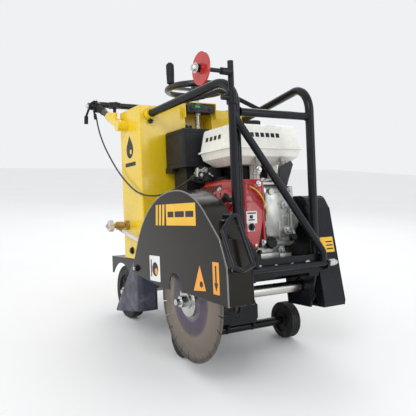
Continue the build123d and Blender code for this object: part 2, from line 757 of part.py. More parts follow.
def make_guard_handle():
    with BuildPart() as guard_handle:
        loop = ((882, -318, 352), (926, -318, 268), (929, -298, 259), (922, -262, 270), (862, -262, 384),
                (863, -276, 386), (882, -318, 352))
        for a, b in zip(loop, loop[1:]):
            rod(a, b, 6)
        for p in loop[1:]:
            with Locations(p):
                Sphere(6)
        # the two welded feet
        rod((929, -298, 259), (896.2, -298, 259), 6)
        rod((863, -276, 386), (826, -276, 386), 6)
        rod((826, -276, 386), (826, -276, 371.2), 6)
    return guard_handle.part


def make_guard_flap():
    with BuildPart() as guard_flap:
        with BuildSketch(Plane.XY.offset(54)) as section:
            with BuildLine():
                Line((140, -315), (340, -315))
                ThreePointArc((340, -315), (352, -310), (357, -298))
                Polyline((357, -298), (357, -250), (353, -250), (353, -298))
                ThreePointArc((353, -298), (349.2, -307.2), (340, -311))
                Polyline((340, -311), (140, -311), (140, -315))
            make_face()
        extrude(section.sketch, amount=192)
        # the free rear edge slopes forward to the guard, the bottom slopes up to the corner
        slab(((120, 40), (120, 260), (316, 260), (316, 243), (143, 66), (139, 40)), -330, -300, Mode.SUBTRACT)
        slab(((120, 30), (120, 55), (345, 84), (345, 30)), -330, -300, Mode.SUBTRACT)
        block(345, 360, -330, -240, 30, 72, Mode.SUBTRACT)
        block(331, 360, -330, -240, 204, 260, Mode.SUBTRACT)
    return guard_flap.part


# ------------------------------------------------------------------ pointer
def make_pointer_frame():
    x = POINTER_X
    with BuildPart() as pointer_frame:
        rod((x, -125.6, POINTER_Z), (x, 151.6, POINTER_Z), 9)
        bent_bar(((x, -112, POINTER_Z + 8), (x, -112, 266), (x, -171, 350), (x, -171, 726)), 22, POINTER_TUBE)
        bent_bar(((x, 141, POINTER_Z + 2), (x, 141, 262), (x, -171, 668)), 22, POINTER_TUBE)
        # collar at the head of the leg, with its clamp screw
        with BuildSketch(Plane.XY.offset(692)) as collar:
            with Locations((x, -171)):
                Circle(15)
                Circle(10, mode=Mode.SUBTRACT)
        extrude(collar.sketch, amount=34)
        rod((x, -183, 710), (x, -203, 710), 8)
        rod((x, -171, 515), (x, -171, 740), 8.8, Mode.SUBTRACT)
        rod((x, -130, POINTER_Z), (x, 160, POINTER_Z), 6.3, Mode.SUBTRACT)
    return pointer_frame.part


def make_pivot_pins():
    with BuildPart() as pivot_pins:
        disc(SWING_X, SWING_Z, 10, -98, 98)
        rod((POINTER_X, -140, POINTER_Z), (POINTER_X, -116, POINTER_Z), 6)
        rod((POINTER_X, 138, POINTER_Z), (POINTER_X, 180, POINTER_Z), 6)
        rod((POINTER_X, 160.3, POINTER_Z), (POINTER_X, 180, POINTER_Z), 11)
    return pivot_pins.part


def make_pointer_bar():
    x = POINTER_X
    with BuildPart() as pointer_bar:
        rod((x, -171, 560), (x, -171, 812), 8.5)
        rod((x + 8, -171, 779), (x + 8, -290, 779), 6)
        rod((x + 8, -180, 779), (x + 8, -208, 779), 10)
        rod((x + 8, -254, 779), (x + 8, -264, 779), 10)
        rod((x + 8, -276.3, 779), (x + 8, -287, 779), 11)
    return pointer_bar.part


def make_pointer_wheel():
    x = POINTER_X + 8
    with BuildPart() as pointer_wheel:
        disc(x, 779, 44.5, -272.5, -267.5)
        disc(x, 779, 15, -276, -264.4)
        disc(x, 779, 6 + RUN_FIT, -280, -260, Mode.SUBTRACT)
    return pointer_wheel.part


# ------------------------------------------------------------------ wheels
def make_wheel(x, z, y, radius, width, axle_d, hub_r):
    with BuildPart() as wheel:
        disc(x, z, radius, y - width / 2, y + width / 2)
        fillet(wheel.edges().filter_by(GeomType.CIRCLE), radius=5)
        for s in (-1, 1):
            face = y + s * width / 2
            with BuildSketch(level(max(face, face - s * 7))) as dish:
                with Locations((x, z)):
                    Circle(radius * 0.66)
                    Circle(hub_r, mode=Mode.SUBTRACT)
            extrude(dish.sketch, amount=7, mode=Mode.SUBTRACT)
        for k in (-1, 0, 1):
            with BuildSketch(level(y + k * width * 0.22 + 1.5)) as groove:
                with Locations((x, z)):
                    Circle(radius + 1)
                    Circle(radius - 2.5, mode=Mode.SUBTRACT)
            extrude(groove.sketch, amount=3, mode=Mode.SUBTRACT)
        disc(x, z, axle_d / 2 + RUN_FIT, y - width, y + width, Mode.SUBTRACT)
    return wheel.part


# ------------------------------------------------------------------ handlebar
SLOPE = radians(BAR_SLOPE)


def along(distance, side=1):
    """Point on a handlebar arm, measured forward from the rear corner."""
    return (BAR_X + distance * cos(SLOPE), side * BAR_Y, BAR_Z - distance * sin(SLOPE))


LEVER = along(41)[0], along(41)[2]


def make_handlebar():
    with BuildPart() as handlebar:
        bent_bar((along(275, -1), along(0, -1), along(0, 1), along(275, 1)), 30, BAR_D)
        # split collar that carries the throttle lever and the end of its cable
        with BuildSketch(Plane(origin=along(28, -1), z_dir=(cos(SLOPE), 0, -sin(SLOPE)))) as collar:
            Circle(18)
        extrude(collar.sketch, amount=26)
        disc(*LEVER, 15, -284, -268)
        disc(*LEVER, 5, -297, -284)
        rod((LEVER[0] + 8, -268, LEVER[1] - 16), (LEVER[0] + 8, -268, LEVER[1] - 25.5), 7)
    return handlebar.part


def make_handlebar_sockets():
    with BuildPart() as handlebar_sockets:
        for s in (-1, 1):
            rod(along(190, s), along(322, s), 18)
            x, y, z = along(318, s)
            rod((x, s * TANK_Y, z), (x, s * 275, z), 20)
            x, y, z = along(252, s)
            rod((x, y, z), (x, y, z + 30), 10)
            rod(along(180, s), along(306, s), BAR_D / 2 + 0.3, Mode.SUBTRACT)
            rod((x, y, z), (x, y, z + 40), 6.1, Mode.SUBTRACT)
    return handlebar_sockets.part


def make_star_knob(side):
    x, y, z = along(252, side)
    with BuildPart() as star_knob:
        rod((x, y, z + 17.4), (x, y, z + 50), 6)
        with BuildSketch(Plane.XY.offset(z + 48)) as star:
            with Locations((x, y)):
                Circle(17)
                with PolarLocations(17, 5):
                    Circle(6)
        extrude(star.sketch, amount=20)
    return star_knob.part


def make_throttle_lever():
    x, z = LEVER
    with BuildPart() as throttle_lever:
        disc(x, z, 14, -292.3, -284.3)
        rod((x, -289, z), (x - 34, -294, z - 34), 4.5)
        rod((x - 34, -294, z - 34), (x - 40, -294, z - 66), 8)
        disc(x, z, 5 + RUN_FIT, -296, -280, Mode.SUBTRACT)
    return throttle_lever.part


CABLE_D = 6.0
CABLE_START = (LEVER[0] + 8, -268.0, LEVER[1] - 31.2)
CABLE_MID = (138.0, -250.0, 508.0)
CABLE = (CABLE_START, (-118.0, -268.0, 762.0), (-96.0, -266.0, 718.0), (-66.0, -263.0, 674.0), (-28.0, -258.0, 630.0),
         (18.0, -254.0, 586.0), (74.0, -251.0, 543.0), CABLE_MID, (178.0, -250.0, 489.0), (222.0, -246.0, 471.0),
         (268.0, -234.0, 459.0), (310.0, -212.0, 457.0), (344.0, -184.0, 468.0), (368.0, -154.0, 487.0),
         (385.0, -123.2, 512.0))


def make_throttle_cable():
    with BuildPart() as throttle_cable:
        cord(CABLE, CABLE_D)
    return throttle_cable.part


LEAD = ((650.8, -74.0, 468.0), (668.0, -71.0, 462.0), (676.0, -54.0, 444.0), (672.0, -36.0, 418.0),
        (658.0, -20.0, 394.0), (634.0, -6.0, 378.0), (607.0, 4.0, 370.0))
LEAD_D = 4.0


def make_oil_alert_lead():
    with BuildPart() as oil_alert_lead:
        cord(LEAD, LEAD_D)
    return oil_alert_lead.part


# ------------------------------------------------------------------ small controls
def make_engine_switch():
    with BuildPart() as engine_switch:
        rod((650.2, -74, 347), (656, -74, 347), 10)
        block(654, 661, -77, -71, 336, 358)
    return engine_switch.part


def make_starter_grip():
    with BuildPart() as starter_grip:
        disc(CRANK_X + 62, CRANK_Z + 62, 7, -144, -122.4)
        rod((CRANK_X + 44, -148, CRANK_Z + 50), (CRANK_X + 80, -148, CRANK_Z + 74), 9)
    return starter_grip.part


PIECES = {
    "chassis_frame": make_chassis_frame, "front_crossmember": make_front_crossmember,
    "engine_plate": make_engine_plate, "water_tank": make_water_tank, "screw_hood": make_screw_hood,
    "screw_bearing_block": make_screw_bearing_block,
    "roll_hoop_right": lambda: make_roll_hoop(-1), "roll_hoop_left": lambda: make_roll_hoop(1),
    "cage_bars": make_cage_bars, "rear_axle": make_rear_axle,
    "shaft_bearings": make_shaft_bearings, "belt_guard": make_belt_guard, "drive_belts": make_drive_belts,
    "guard_mount_bar": make_guard_mount_bar, "spray_pipe": make_spray_pipe, "valve_body": make_valve_body,
    "valve_handle": make_valve_handle, "water_hose": make_water_hose, "throttle_cable": make_throttle_cable,
    "crankcase": make_crankcase, "cylinder": make_cylinder,
    "fan_shroud": make_fan_shroud, "recoil_cover": make_recoil_cover, "fuel_tank": make_fuel_tank,
    "fuel_cap": make_fuel_cap, "air_cleaner": make_air_cleaner, "carburettor": make_carburettor,
    "muffler": make_muffler, "engine_bolts": make_engine_bolts, "blade_shaft": make_blade_shaft,
    "blade_flanges": make_blade_flanges, "saw_blade": make_saw_blade, "arbor_bolt": make_arbor_bolt,
    "driven_pulley": make_driven_pulley, "crankshaft": make_crankshaft, "drive_pulley": make_drive_pulley,
    "swing_frame": make_swing_frame, "depth_screw": make_depth_screw,
    "depth_nut": make_depth_nut, "handwheel": make_handwheel, "handwheel_grip": make_handwheel_grip,
    "blade_guard": make_blade_guard, "guard_handle": make_guard_handle, "guard_flap": make_guard_flap,
    "pointer_frame": make_pointer_frame, "pivot_pins": make_pivot_pins, "pointer_bar": make_pointer_bar,
    "pointer_wheel": make_pointer_wheel, "handlebar": make_handlebar,
    "handlebar_sockets": make_handlebar_sockets,
    "star_knob_right": lambda: make_star_knob(-1), "star_knob_left": lambda: make_star_knob(1),
    "throttle_lever": make_throttle_lever,
    "front_wheel_right": lambda: make_wheel(AXLE_X, AXLE_Z, -FRONT_Y, FRONT_R, FRONT_WIDTH, FRONT_AXLE_D, 24),
    "front_wheel_left": lambda: make_wheel(AXLE_X, AXLE_Z, FRONT_Y, FRONT_R, FRONT_WIDTH, FRONT_AXLE_D, 24),
    "rear_wheel_right": lambda: make_wheel(0, REAR_R, -REAR_Y, REAR_R, REAR_WIDTH, REAR_AXLE_D, 34),
    "rear_wheel_left": lambda: make_wheel(0, REAR_R, REAR_Y, REAR_R, REAR_WIDTH, REAR_AXLE_D, 34),
    "oil_alert_lead": make_oil_alert_lead, "engine_switch": make_engine_switch, "starter_grip": make_starter_grip,
}

TIP = Axis((0, 0, REAR_R), (0, 1, 0))
os.makedirs("parts", exist_ok=True)
built = {}
for label, make in PIECES.items():
    built[label] = make().rotate(TIP, -PITCH)

boxes = [piece.bounding_box() for piece in built.values()]
low = Vector(min(b.min.X for b in boxes), min(b.min.Y for b in boxes), min(b.min.Z for b in boxes))
high = Vector(max(b.max.X for b in boxes), max(b.max.Y for b in boxes), max(b.max.Z for b in boxes))
shift = Location((-(low.X + high.X) / 2, -(low.Y + high.Y) / 2, -low.Z))
print("size", high - low, "shift", shift.position)
for label, piece in built.items():
    placed = piece.moved(shift)
    placed.label = label
    export_step(placed, "parts/" + label + ".step")
print(len(built), "pieces")
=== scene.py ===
import json
from math import atan2, cos, pi, radians, sin, sqrt, tan

import bmesh
import bpy
from mathutils import Matrix, Vector


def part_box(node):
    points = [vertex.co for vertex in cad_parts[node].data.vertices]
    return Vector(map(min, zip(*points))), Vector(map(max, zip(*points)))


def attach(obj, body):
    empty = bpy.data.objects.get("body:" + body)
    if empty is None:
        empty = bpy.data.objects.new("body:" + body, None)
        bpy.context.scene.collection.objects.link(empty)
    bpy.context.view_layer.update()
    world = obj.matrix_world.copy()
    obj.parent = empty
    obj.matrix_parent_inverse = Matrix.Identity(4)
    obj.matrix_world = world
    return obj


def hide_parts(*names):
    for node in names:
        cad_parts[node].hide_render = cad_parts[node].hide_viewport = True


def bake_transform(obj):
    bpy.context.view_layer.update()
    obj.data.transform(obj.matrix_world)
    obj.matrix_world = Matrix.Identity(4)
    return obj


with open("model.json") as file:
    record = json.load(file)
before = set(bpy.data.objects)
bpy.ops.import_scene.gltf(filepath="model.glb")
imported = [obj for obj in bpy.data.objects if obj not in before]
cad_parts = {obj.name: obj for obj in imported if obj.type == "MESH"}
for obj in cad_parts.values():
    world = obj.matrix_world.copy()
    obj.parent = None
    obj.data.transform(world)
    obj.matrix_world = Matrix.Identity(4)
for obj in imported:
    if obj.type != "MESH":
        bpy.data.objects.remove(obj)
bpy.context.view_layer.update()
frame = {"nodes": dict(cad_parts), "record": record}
nodes = frame["nodes"]
record = frame["record"]

# ---- the level frame
# Pieces are drawn with the chassis level, in millimetres: x = 0 at the rear axle, z = 0 under the
# rear wheels. The machine stands nose-up by PITCH, turned about the rear axle.
PITCH = radians(7.5)
REAR_R = 100.0
REAR_Y = 198.0
low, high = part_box("rear_wheel_right")
axle = (Vector(low) + Vector(high)) / 2
TIP = (Matrix.Translation(axle + Vector((0, REAR_Y / 1000, 0)))
       @ Matrix.Rotation(-PITCH, 4, "Y")
       @ Matrix.Translation((0, 0, -REAR_R / 1000))
       @ Matrix.Scale(0.001, 4))


def at(x, y, z):
    """Row-frame point, in metres, of a level-frame point in millimetres."""
    return TIP @ Vector((x, y, z))


# ---- materials
def new_node(tree, kind, **values):
    node = tree.nodes.new(kind)
    for key, value in values.items():
        if key in node.inputs:
            node.inputs[key].default_value = value
        else:
            setattr(node, key, value)
    return node


def noise(tree, coords, scale, detail=4.0, stretch=None):
    node = new_node(tree, "ShaderNodeTexNoise", Scale=scale, Detail=detail)
    if stretch is None:
        tree.links.new(coords, node.inputs["Vector"])
    else:
        mapping = new_node(tree, "ShaderNodeMapping", Scale=stretch)
        tree.links.new(coords, mapping.inputs["Vector"])
        tree.links.new(mapping.outputs["Vector"], node.inputs["Vector"])
    return node.outputs["Fac"]


def remap(tree, value, from_low, from_high, to_low, to_high):
    node = new_node(tree, "ShaderNodeMapRange")
    tree.links.new(value, node.inputs["Value"])
    for index, number in enumerate((from_low, from_high, to_low, to_high), start=1):
        node.inputs[index].default_value = number
    return node.outputs["Result"]


def mix(tree, factor, first, second):
    """A colour mix: the Mix node's colour sockets are inputs 6 and 7, and output 2."""
    node = new_node(tree, "ShaderNodeMix", data_type="RGBA")
    tree.links.new(factor, node.inputs[0])
    for socket, value in ((node.inputs[6], first), (node.inputs[7], second)):
        if isinstance(value, tuple):
            socket.default_value = (*value, 1.0)
        else:
            tree.links.new(value, socket)
    return node.outputs[2]


COAT_ROUGHNESS = 0.12
DUST_COLOUR = (0.42, 0.39, 0.34)
DUST_SCALE = 34.0
WEAR_SCALE = 120.0
GLOSS_SCALE = 46.0


def surface(name, color, roughness, metallic=0.0, coat=0.0, mottle=0.12, mottle_scale=9.0, grain_scale=700.0,
            grain=0.00004, rough_spread=0.10, wear=None, wear_amount=0.7, dust=0.0, stretch=None,
            specular=0.5, transmission=0.0, edge=0.0012):
    """Paint, metal, plastic or rubber with mottled colour, uneven gloss, surface grain and worn edges.

    mottle is the colour's spread, grain the bump's height and edge the worn edge's width, in metres.
    """
    material = bpy.data.materials.new(name)
    material.use_nodes = True
    tree = material.node_tree
    shader = tree.nodes["Principled BSDF"]
    coords = tree.nodes.new("ShaderNodeTexCoord").outputs["Object"]
    shader.inputs["Metallic"].default_value = metallic
    shader.inputs["Coat Weight"].default_value = coat
    shader.inputs["Coat Roughness"].default_value = COAT_ROUGHNESS
    shader.inputs["Specular IOR Level"].default_value = specular
    shader.inputs["Transmission Weight"].default_value = transmission
    darker = tuple(c * (1 - mottle) for c in color)
    lighter = tuple(min(1.0, c * (1 + mottle)) for c in color)
    patches = noise(tree, coords, mottle_scale, 6.0, stretch)
    tint = mix(tree, remap(tree, patches, 0.35, 0.65, 0.0, 1.0), darker, lighter)
    fine = noise(tree, coords, grain_scale, 3.0, stretch)
    if dust > 0:
        settled = noise(tree, coords, DUST_SCALE, 8.0)
        tint = mix(tree, remap(tree, settled, 0.50, 0.78, 0.0, dust), tint, DUST_COLOUR)
    bevel = new_node(tree, "ShaderNodeBevel", samples=4, Radius=edge)
    if wear is not None:
        geometry = tree.nodes.new("ShaderNodeNewGeometry")
        facing = new_node(tree, "ShaderNodeVectorMath", operation="DOT_PRODUCT")
        tree.links.new(bevel.outputs["Normal"], facing.inputs[0])
        tree.links.new(geometry.outputs["Normal"], facing.inputs[1])
        rubbed = remap(tree, facing.outputs["Value"], 0.995, 0.90, 0.0, wear_amount)
        broken = remap(tree, noise(tree, coords, WEAR_SCALE, 6.0), 0.42, 0.62, 0.0, 1.0)
        product = new_node(tree, "ShaderNodeMath", operation="MULTIPLY")
        tree.links.new(rubbed, product.inputs[0])
        tree.links.new(broken, product.inputs[1])
        tint = mix(tree, product.outputs[0], tint, wear)
    tree.links.new(tint, shader.inputs["Base Color"])
    uneven = noise(tree, coords, GLOSS_SCALE, 5.0, stretch)
    gloss = remap(tree, uneven, 0.3, 0.7, max(0.03, roughness - rough_spread),
                  min(1.0, roughness + rough_spread))
    tree.links.new(gloss, shader.inputs["Roughness"])
    bump = new_node(tree, "ShaderNodeBump", Strength=0.6, Distance=grain)
    tree.links.new(fine, bump.inputs["Height"])
    tree.links.new(bevel.outputs["Normal"], bump.inputs["Normal"])
    tree.links.new(bump.outputs["Normal"], shader.inputs["Normal"])
    return material


SURFACES = {
    "tank_yellow": surface("yellow_enamel", (0.80, 0.55, 0.010), 0.26, coat=0.45, mottle=0.05,
                           mottle_scale=5.0, grain_scale=420.0, grain=0.000012, wear=(0.86, 0.68, 0.12),
                           wear_amount=0.6, dust=0.02, rough_spread=0.04),
    "black_paint": surface("black_enamel", (0.0075, 0.0085, 0.0115), 0.24, mottle=0.25, grain_scale=480.0,
                           grain=0.00001, wear=(0.06, 0.06, 0.065), wear_amount=0.5, specular=0.24,
                           rough_spread=0.05),
    "guard_black": surface("guard_enamel", (0.0125, 0.0095, 0.0060), 0.20, mottle=0.14, mottle_scale=6.0,
                           grain_scale=420.0, grain=0.000008, wear=(0.50, 0.52, 0.56), wear_amount=0.8,
                           specular=0.22, edge=0.0016, rough_spread=0.04),
    "zinc": surface("zinc_plate", (0.56, 0.57, 0.56), 0.28, metallic=1.0, mottle=0.10, mottle_scale=60.0,
                    wear=(0.80, 0.80, 0.80)),
    "bearing_grey": surface("cast_grey", (0.030, 0.032, 0.034), 0.50, metallic=0.3, mottle=0.22,
                            grain_scale=320.0, grain=0.00025, wear=(0.22, 0.22, 0.22), dust=0.05),
    "steel": surface("turned_steel", (0.50, 0.49, 0.46), 0.26, metallic=1.0, mottle=0.14, mottle_scale=24.0,
                     stretch=(1.0, 0.08, 1.0), wear=(0.8, 0.8, 0.8)),
    "bar_black": surface("bar_enamel", (0.0085, 0.0095, 0.0125), 0.20, mottle=0.2, grain_scale=380.0,
                         wear=(0.08, 0.08, 0.09), wear_amount=0.5, specular=0.36, grain=0.00001),
    "aluminium": surface("cast_aluminium", (0.46, 0.46, 0.43), 0.36, metallic=0.85, mottle=0.16,
                         mottle_scale=16.0, grain_scale=420.0, grain=0.00022, wear=(0.85, 0.85, 0.83),
                         dust=0.05),
    "red_paint": surface("red_enamel", (0.380, 0.006, 0.010), 0.22, coat=0.5, mottle=0.14, grain_scale=500.0,
                         grain=0.00001, wear=(0.60, 0.08, 0.07), wear_amount=0.4),
    "tank_white": surface("white_enamel", (0.88, 0.87, 0.79), 0.26, coat=0.5, mottle=0.035,
                          grain_scale=500.0, grain=0.00001, wear=(0.50, 0.46, 0.36), wear_amount=0.35),
    "black_plastic": surface("moulded_black", (0.013, 0.014, 0.015), 0.46, mottle=0.25, grain_scale=900.0,
                             grain=0.00005, wear=(0.05, 0.05, 0.05), specular=0.24),
    "switch_red": surface("moulded_red", (0.36, 0.012, 0.010), 0.35, mottle=0.08, wear=(0.8, 0.3, 0.25)),
    "handwheel_black": surface("wheel_plastic", (0.008, 0.0085, 0.010), 0.24, coat=0.15, mottle=0.2,
                               grain_scale=600.0, wear=(0.05, 0.05, 0.05), specular=0.45),
    "brass": surface("cast_brass", (0.50, 0.36, 0.16), 0.34, metallic=1.0, mottle=0.16, mottle_scale=70.0,
                     grain=0.00010, wear=(0.9, 0.72, 0.4)),
    "tyre": surface("solid_rubber", (0.015, 0.015, 0.015), 0.68, mottle=0.25, mottle_scale=30.0,
                    grain_scale=520.0, grain=0.00025, dust=0.10, wear=(0.07, 0.07, 0.07), wear_amount=0.5,
                    specular=0.35),
    "rubber": surface("belt_rubber", (0.012, 0.012, 0.013), 0.66, mottle=0.2, grain=0.00020),
    "flap_blue": surface("flap_rubber", (0.024, 0.028, 0.058), 0.40, mottle=0.34, mottle_scale=14.0,
                         grain_scale=300.0, grain=0.00020, dust=0.22, transmission=0.12),
    "hose_grey": surface("hose_pvc", (0.60, 0.61, 0.60), 0.30, coat=0.2, mottle=0.08, grain_scale=260.0,
                         grain=0.00015, dust=0.06),
    "cable_black": surface("cable_sheath", (0.020, 0.021, 0.022), 0.42, mottle=0.15, grain_scale=900.0),
    "lead_yellow": surface("lead_sheath", (0.74, 0.52, 0.03), 0.40, mottle=0.08, grain_scale=900.0),
    "pointer_red": surface("disc_red", (0.46, 0.020, 0.016), 0.32, coat=0.3, mottle=0.10, grain_scale=400.0,
                           wear=(0.70, 0.22, 0.18)),
}
LABEL_YELLOW = surface("label_yellow", (0.80, 0.46, 0.020), 0.38, mottle=0.05, dust=0.05)
LABEL_ORANGE = surface("label_orange", (0.80, 0.32, 0.02), 0.38, mottle=0.05, dust=0.05)
LABEL_WHITE = surface("label_white", (0.78, 0.78, 0.75), 0.36, mottle=0.04, dust=0.05)
LABEL_GREEN = surface("label_green", (0.02, 0.42, 0.10), 0.40, mottle=0.08)
LABEL_INK = surface("label_ink", (0.012, 0.011, 0.010), 0.42, mottle=0.15, specular=0.35)
# lighter grey metallic copy of the guard's black paint for the rim bead: a painted highlight along the
# guard's rolled edge, with pale worn spots
RIM_PAINTED_HIGHLIGHT = surface("guard_rim_painted_highlight", (0.20, 0.205, 0.22), 0.16, metallic=0.6, mottle=0.10,
                     grain_scale=420.0, grain=0.000008, wear=(0.8, 0.8, 0.82), rough_spread=0.04)
VALVE_PALE = surface("valve_plastic", (0.62, 0.56, 0.50), 0.36, mottle=0.14, mottle_scale=60.0, dust=0.10)


BLADE_REACH = 0.176
# colours from the shaft out to BLADE_REACH, as shares of it
BLADE_STOPS = ((0.0, (0.50, 0.50, 0.50)), (0.27, (0.30, 0.28, 0.30)), (0.36, (0.10, 0.075, 0.13)),
               (0.54, (0.115, 0.09, 0.12)), (0.60, (0.26, 0.215, 0.175)), (0.90, (0.20, 0.165, 0.135)),
               (0.955, (0.085, 0.072, 0.060)), (1.0, (0.16, 0.14, 0.12)))


def blade_steel():
    """Turned steel: fine rings about the shaft, heat-tinted near the middle, sooty towards the rim."""
    material = surface("blade_steel", (0.30, 0.26, 0.22), 0.34, metallic=0.85, mottle=0.12, grain_scale=260.0)
    tree = material.node_tree
    shader = tree.nodes["Principled BSDF"]
    coords = tree.nodes.new("ShaderNodeTexCoord").outputs["Object"]
    low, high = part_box("saw_blade")
    centre = (Vector(low) + Vector(high)) / 2
    arm = new_node(tree, "ShaderNodeVectorMath", operation="SUBTRACT")
    tree.links.new(coords, arm.inputs[0])
    arm.inputs[1].default_value = centre
    reach = new_node(tree, "ShaderNodeVectorMath", operation="LENGTH")
    tree.links.new(arm.outputs[0], reach.inputs[0])
    radius = reach.outputs["Value"]
    ramp = new_node(tree, "ShaderNodeValToRGB")
    tree.links.new(remap(tree, radius, 0.0, BLADE_REACH, 0.0, 1.0), ramp.inputs[0])
    for position, _ in BLADE_STOPS[2:]:
        ramp.color_ramp.elements.new(position)
    for element, (position, colour) in zip(ramp.color_ramp.elements, BLADE_STOPS):
        element.position = position
        element.color = (*colour, 1.0)
    rings = new_node(tree, "ShaderNodeTexNoise", noise_dimensions="1D", Scale=2400.0, Detail=3.0)
    tree.links.new(radius, rings.inputs["W"])
    turned = remap(tree, rings.outputs["Fac"], 0.3, 0.7, 0.0, 0.35)
    shade = mix(tree, turned, ramp.outputs[0], (0.05, 0.045, 0.04))
    tree.links.new(shade, shader.inputs["Base Color"])
    bump = new_node(tree, "ShaderNodeBump", Strength=0.5, Distance=0.00005)
    tree.links.new(rings.outputs["Fac"], bump.inputs["Height"])
    tree.links.new(bump.outputs["Normal"], shader.inputs["Normal"])
    return material


SURFACES["blade"] = blade_steel()

slot_of = {part["node"]: part["material_slot"] for part in record["subparts"]}
for label, node in nodes.items():
    node.data.materials.clear()
    node.data.materials.append(SURFACES[slot_of[label]])
nodes["valve_handle"].data.materials[0] = VALVE_PALE
nodes["carburettor"].data.materials[0] = SURFACES["bearing_grey"]
nodes["engine_switch"].data.materials[0] = SURFACES["black_plastic"]


# ---- building blocks
# directions in the level frame
FRONT = (1, 0, 0)
BLADE_SIDE = (0, -1, 0)
BELT_SIDE = (0, 1, 0)
UP = (0, 0, 1)


def finish_piece(name, bm, slot, body, material=None, smooth=True, angle=35.0):
    """Turns a bmesh drawn in level millimetres into a piece that rides on a body."""
    bmesh.ops.transform(bm, matrix=TIP, verts=bm.verts)
    bmesh.ops.recalc_face_normals(bm, faces=bm.faces)
    mesh = bpy.data.meshes.new(name)
    bm.to_mesh(mesh)
    bm.free()
    if smooth:
        mesh.shade_smooth()
        mesh.set_sharp_from_angle(angle=radians(angle))
    mesh.materials.append(material or SURFACES[slot])
    piece = bpy.data.objects.new(name, mesh)
    bpy.context.scene.collection.objects.link(piece)
    if body is not None:
        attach(piece, body)
    return piece


def aim(direction):
    """The turn that points the z axis along direction."""
    return Vector(direction).to_track_quat("Z", "Y").to_matrix().to_4x4()


def add_rod(bm, a, b, radius, radius_b=None, sides=28):
    """A closed round bar from a to b, tapered when radius_b is given."""
    a, b = Vector(a), Vector(b)
    place = Matrix.Translation((a + b) / 2) @ aim(b - a)
    bmesh.ops.create_cone(bm, cap_ends=True, segments=sides, radius1=radius, depth=(b - a).length,
                          radius2=radius if radius_b is None else radius_b, matrix=place)


def add_box(bm, x0, x1, y0, y1, z0, z1, bevel=1.0):
    """A block between two corners, its edges rounded by bevel."""
    place = Matrix.Translation(((x0 + x1) / 2, (y0 + y1) / 2, (z0 + z1) / 2)) @ Matrix.Diagonal(
        (x1 - x0, y1 - y0, z1 - z0, 1.0))
    made = bmesh.ops.create_cube(bm, size=1.0, matrix=place)
    if bevel > 0:
        edges = list(dict.fromkeys(edge for vert in made["verts"] for edge in vert.link_edges))
        bmesh.ops.bevel(bm, geom=edges, offset=bevel, segments=2, affect="EDGES", profile=0.5)


def add_bolt(bm, place, axis, across=13.0, height=6.0, washer=True):
    """A hexagon head on a washer, standing on place and pointing along axis."""
    place, axis = Vector(place), Vector(axis).normalized()
    base = 1.6 if washer else 0.0
    if washer:
        add_rod(bm, place - axis * 0.4, place + axis * base, across * 0.85)
    half = across / sqrt(3)
    add_rod(bm, place + axis * base, place + axis * (base + height * 0.75), half, sides=6)
    add_rod(bm, place + axis * (base + height * 0.75), place + axis * (base + height), half, half * 0.82,
            sides=6)


def bolts(name, body, slot, placed):
    """One piece of many bolts, each given as place, axis, size across flats and head height."""
    bm = bmesh.new()
    for place, axis, across, height in placed:
        add_bolt(bm, place, axis, across, height)
    return finish_piece(name, bm, slot, body, angle=25.0)


def add_tube(bm, points, radius, sides=12, closed=False):
    """A round bead along straight runs, with rings mitred at the corners."""
    points = [Vector(p) for p in points]
    count = len(points)
    rings = []
    for index, here in enumerate(points):
        before = points[index - 1] if index or closed else here
        after = points[(index + 1) % count] if index < count - 1 or closed else here
        heading = (after - before).normalized()
        turn = aim(heading)
        rings.append([bm.verts.new(here + turn @ Vector((radius * cos(2 * pi * k / sides),
                                                         radius * sin(2 * pi * k / sides), 0)))
                      for k in range(sides)])
    pairs = list(zip(rings, rings[1:])) + ([(rings[-1], rings[0])] if closed else [])
    for first, second in pairs:
        shift = min(range(sides), key=lambda s: (first[0].co - second[s].co).length)
        for k in range(sides):
            bm.faces.new((first[k], first[(k + 1) % sides], second[(k + 1 + shift) % sides],
                          second[(k + shift) % sides]))
    if not closed:
        bm.faces.new(rings[0][::-1])
        bm.faces.new(rings[-1])


def add_prism(bm, near, far):
    """A solid between two outlines of as many points each."""
    near = [bm.verts.new(point) for point in near]
    far = [bm.verts.new(point) for point in far]
    bm.faces.new(near)
    bm.faces.new(far[::-1])
    for k in range(len(near)):
        j = (k + 1) % len(near)
        bm.faces.new((near[k], near[j], far[j], far[k]))


def weld(name, body, slot, paths, radius=2.2, step=2.6):
    """A welded seam: a bead whose thickness ripples along its length."""
    bm = bmesh.new()
    for path in paths:
        points = [Vector(p) for p in path]
        for a, b in zip(points, points[1:]):
            count = max(2, int((b - a).length / step))
            for k in range(count):
                place = a.lerp(b, (k + 0.5) / count)
                size = radius * (1 + 0.10 * sin(k * 2.4))
                bmesh.ops.create_icosphere(bm, subdivisions=1, radius=size, matrix=Matrix.Translation(place))
    return finish_piece(name, bm, slot, body, angle=60.0)


CARD_SUNK = 0.25
INK_PROUD = 0.35


def card(name, body, slot, corners, outward, thick=0.4, material=None):
    """A thin flat piece lying on a surface: a polygon of points, thickened outward."""
    corners = [Vector(c) for c in corners]
    outward = Vector(outward).normalized()
    bm = bmesh.new()
    add_prism(bm, [c - outward * CARD_SUNK for c in corners], [c + outward * thick for c in corners])
    return finish_piece(name, bm, slot, body, material, smooth=False)


def side_card(name, body, slot, outline, y, thick=0.4, material=None):
    """A card on a surface that faces the blade side, from (x, z) points."""
    return card(name, body, slot, [(x, y, z) for x, z in outline], BLADE_SIDE, thick, material)


def front_corners(y0, y1, z0, z1, x0, x1=None):
    """Corners of a panel that faces forward, at x0 along its lower edge and x1 along its upper edge."""
    x1 = x0 if x1 is None else x1
    return (x0, y0, z0), (x0, y1, z0), (x1, y1, z1), (x1, y0, z1)


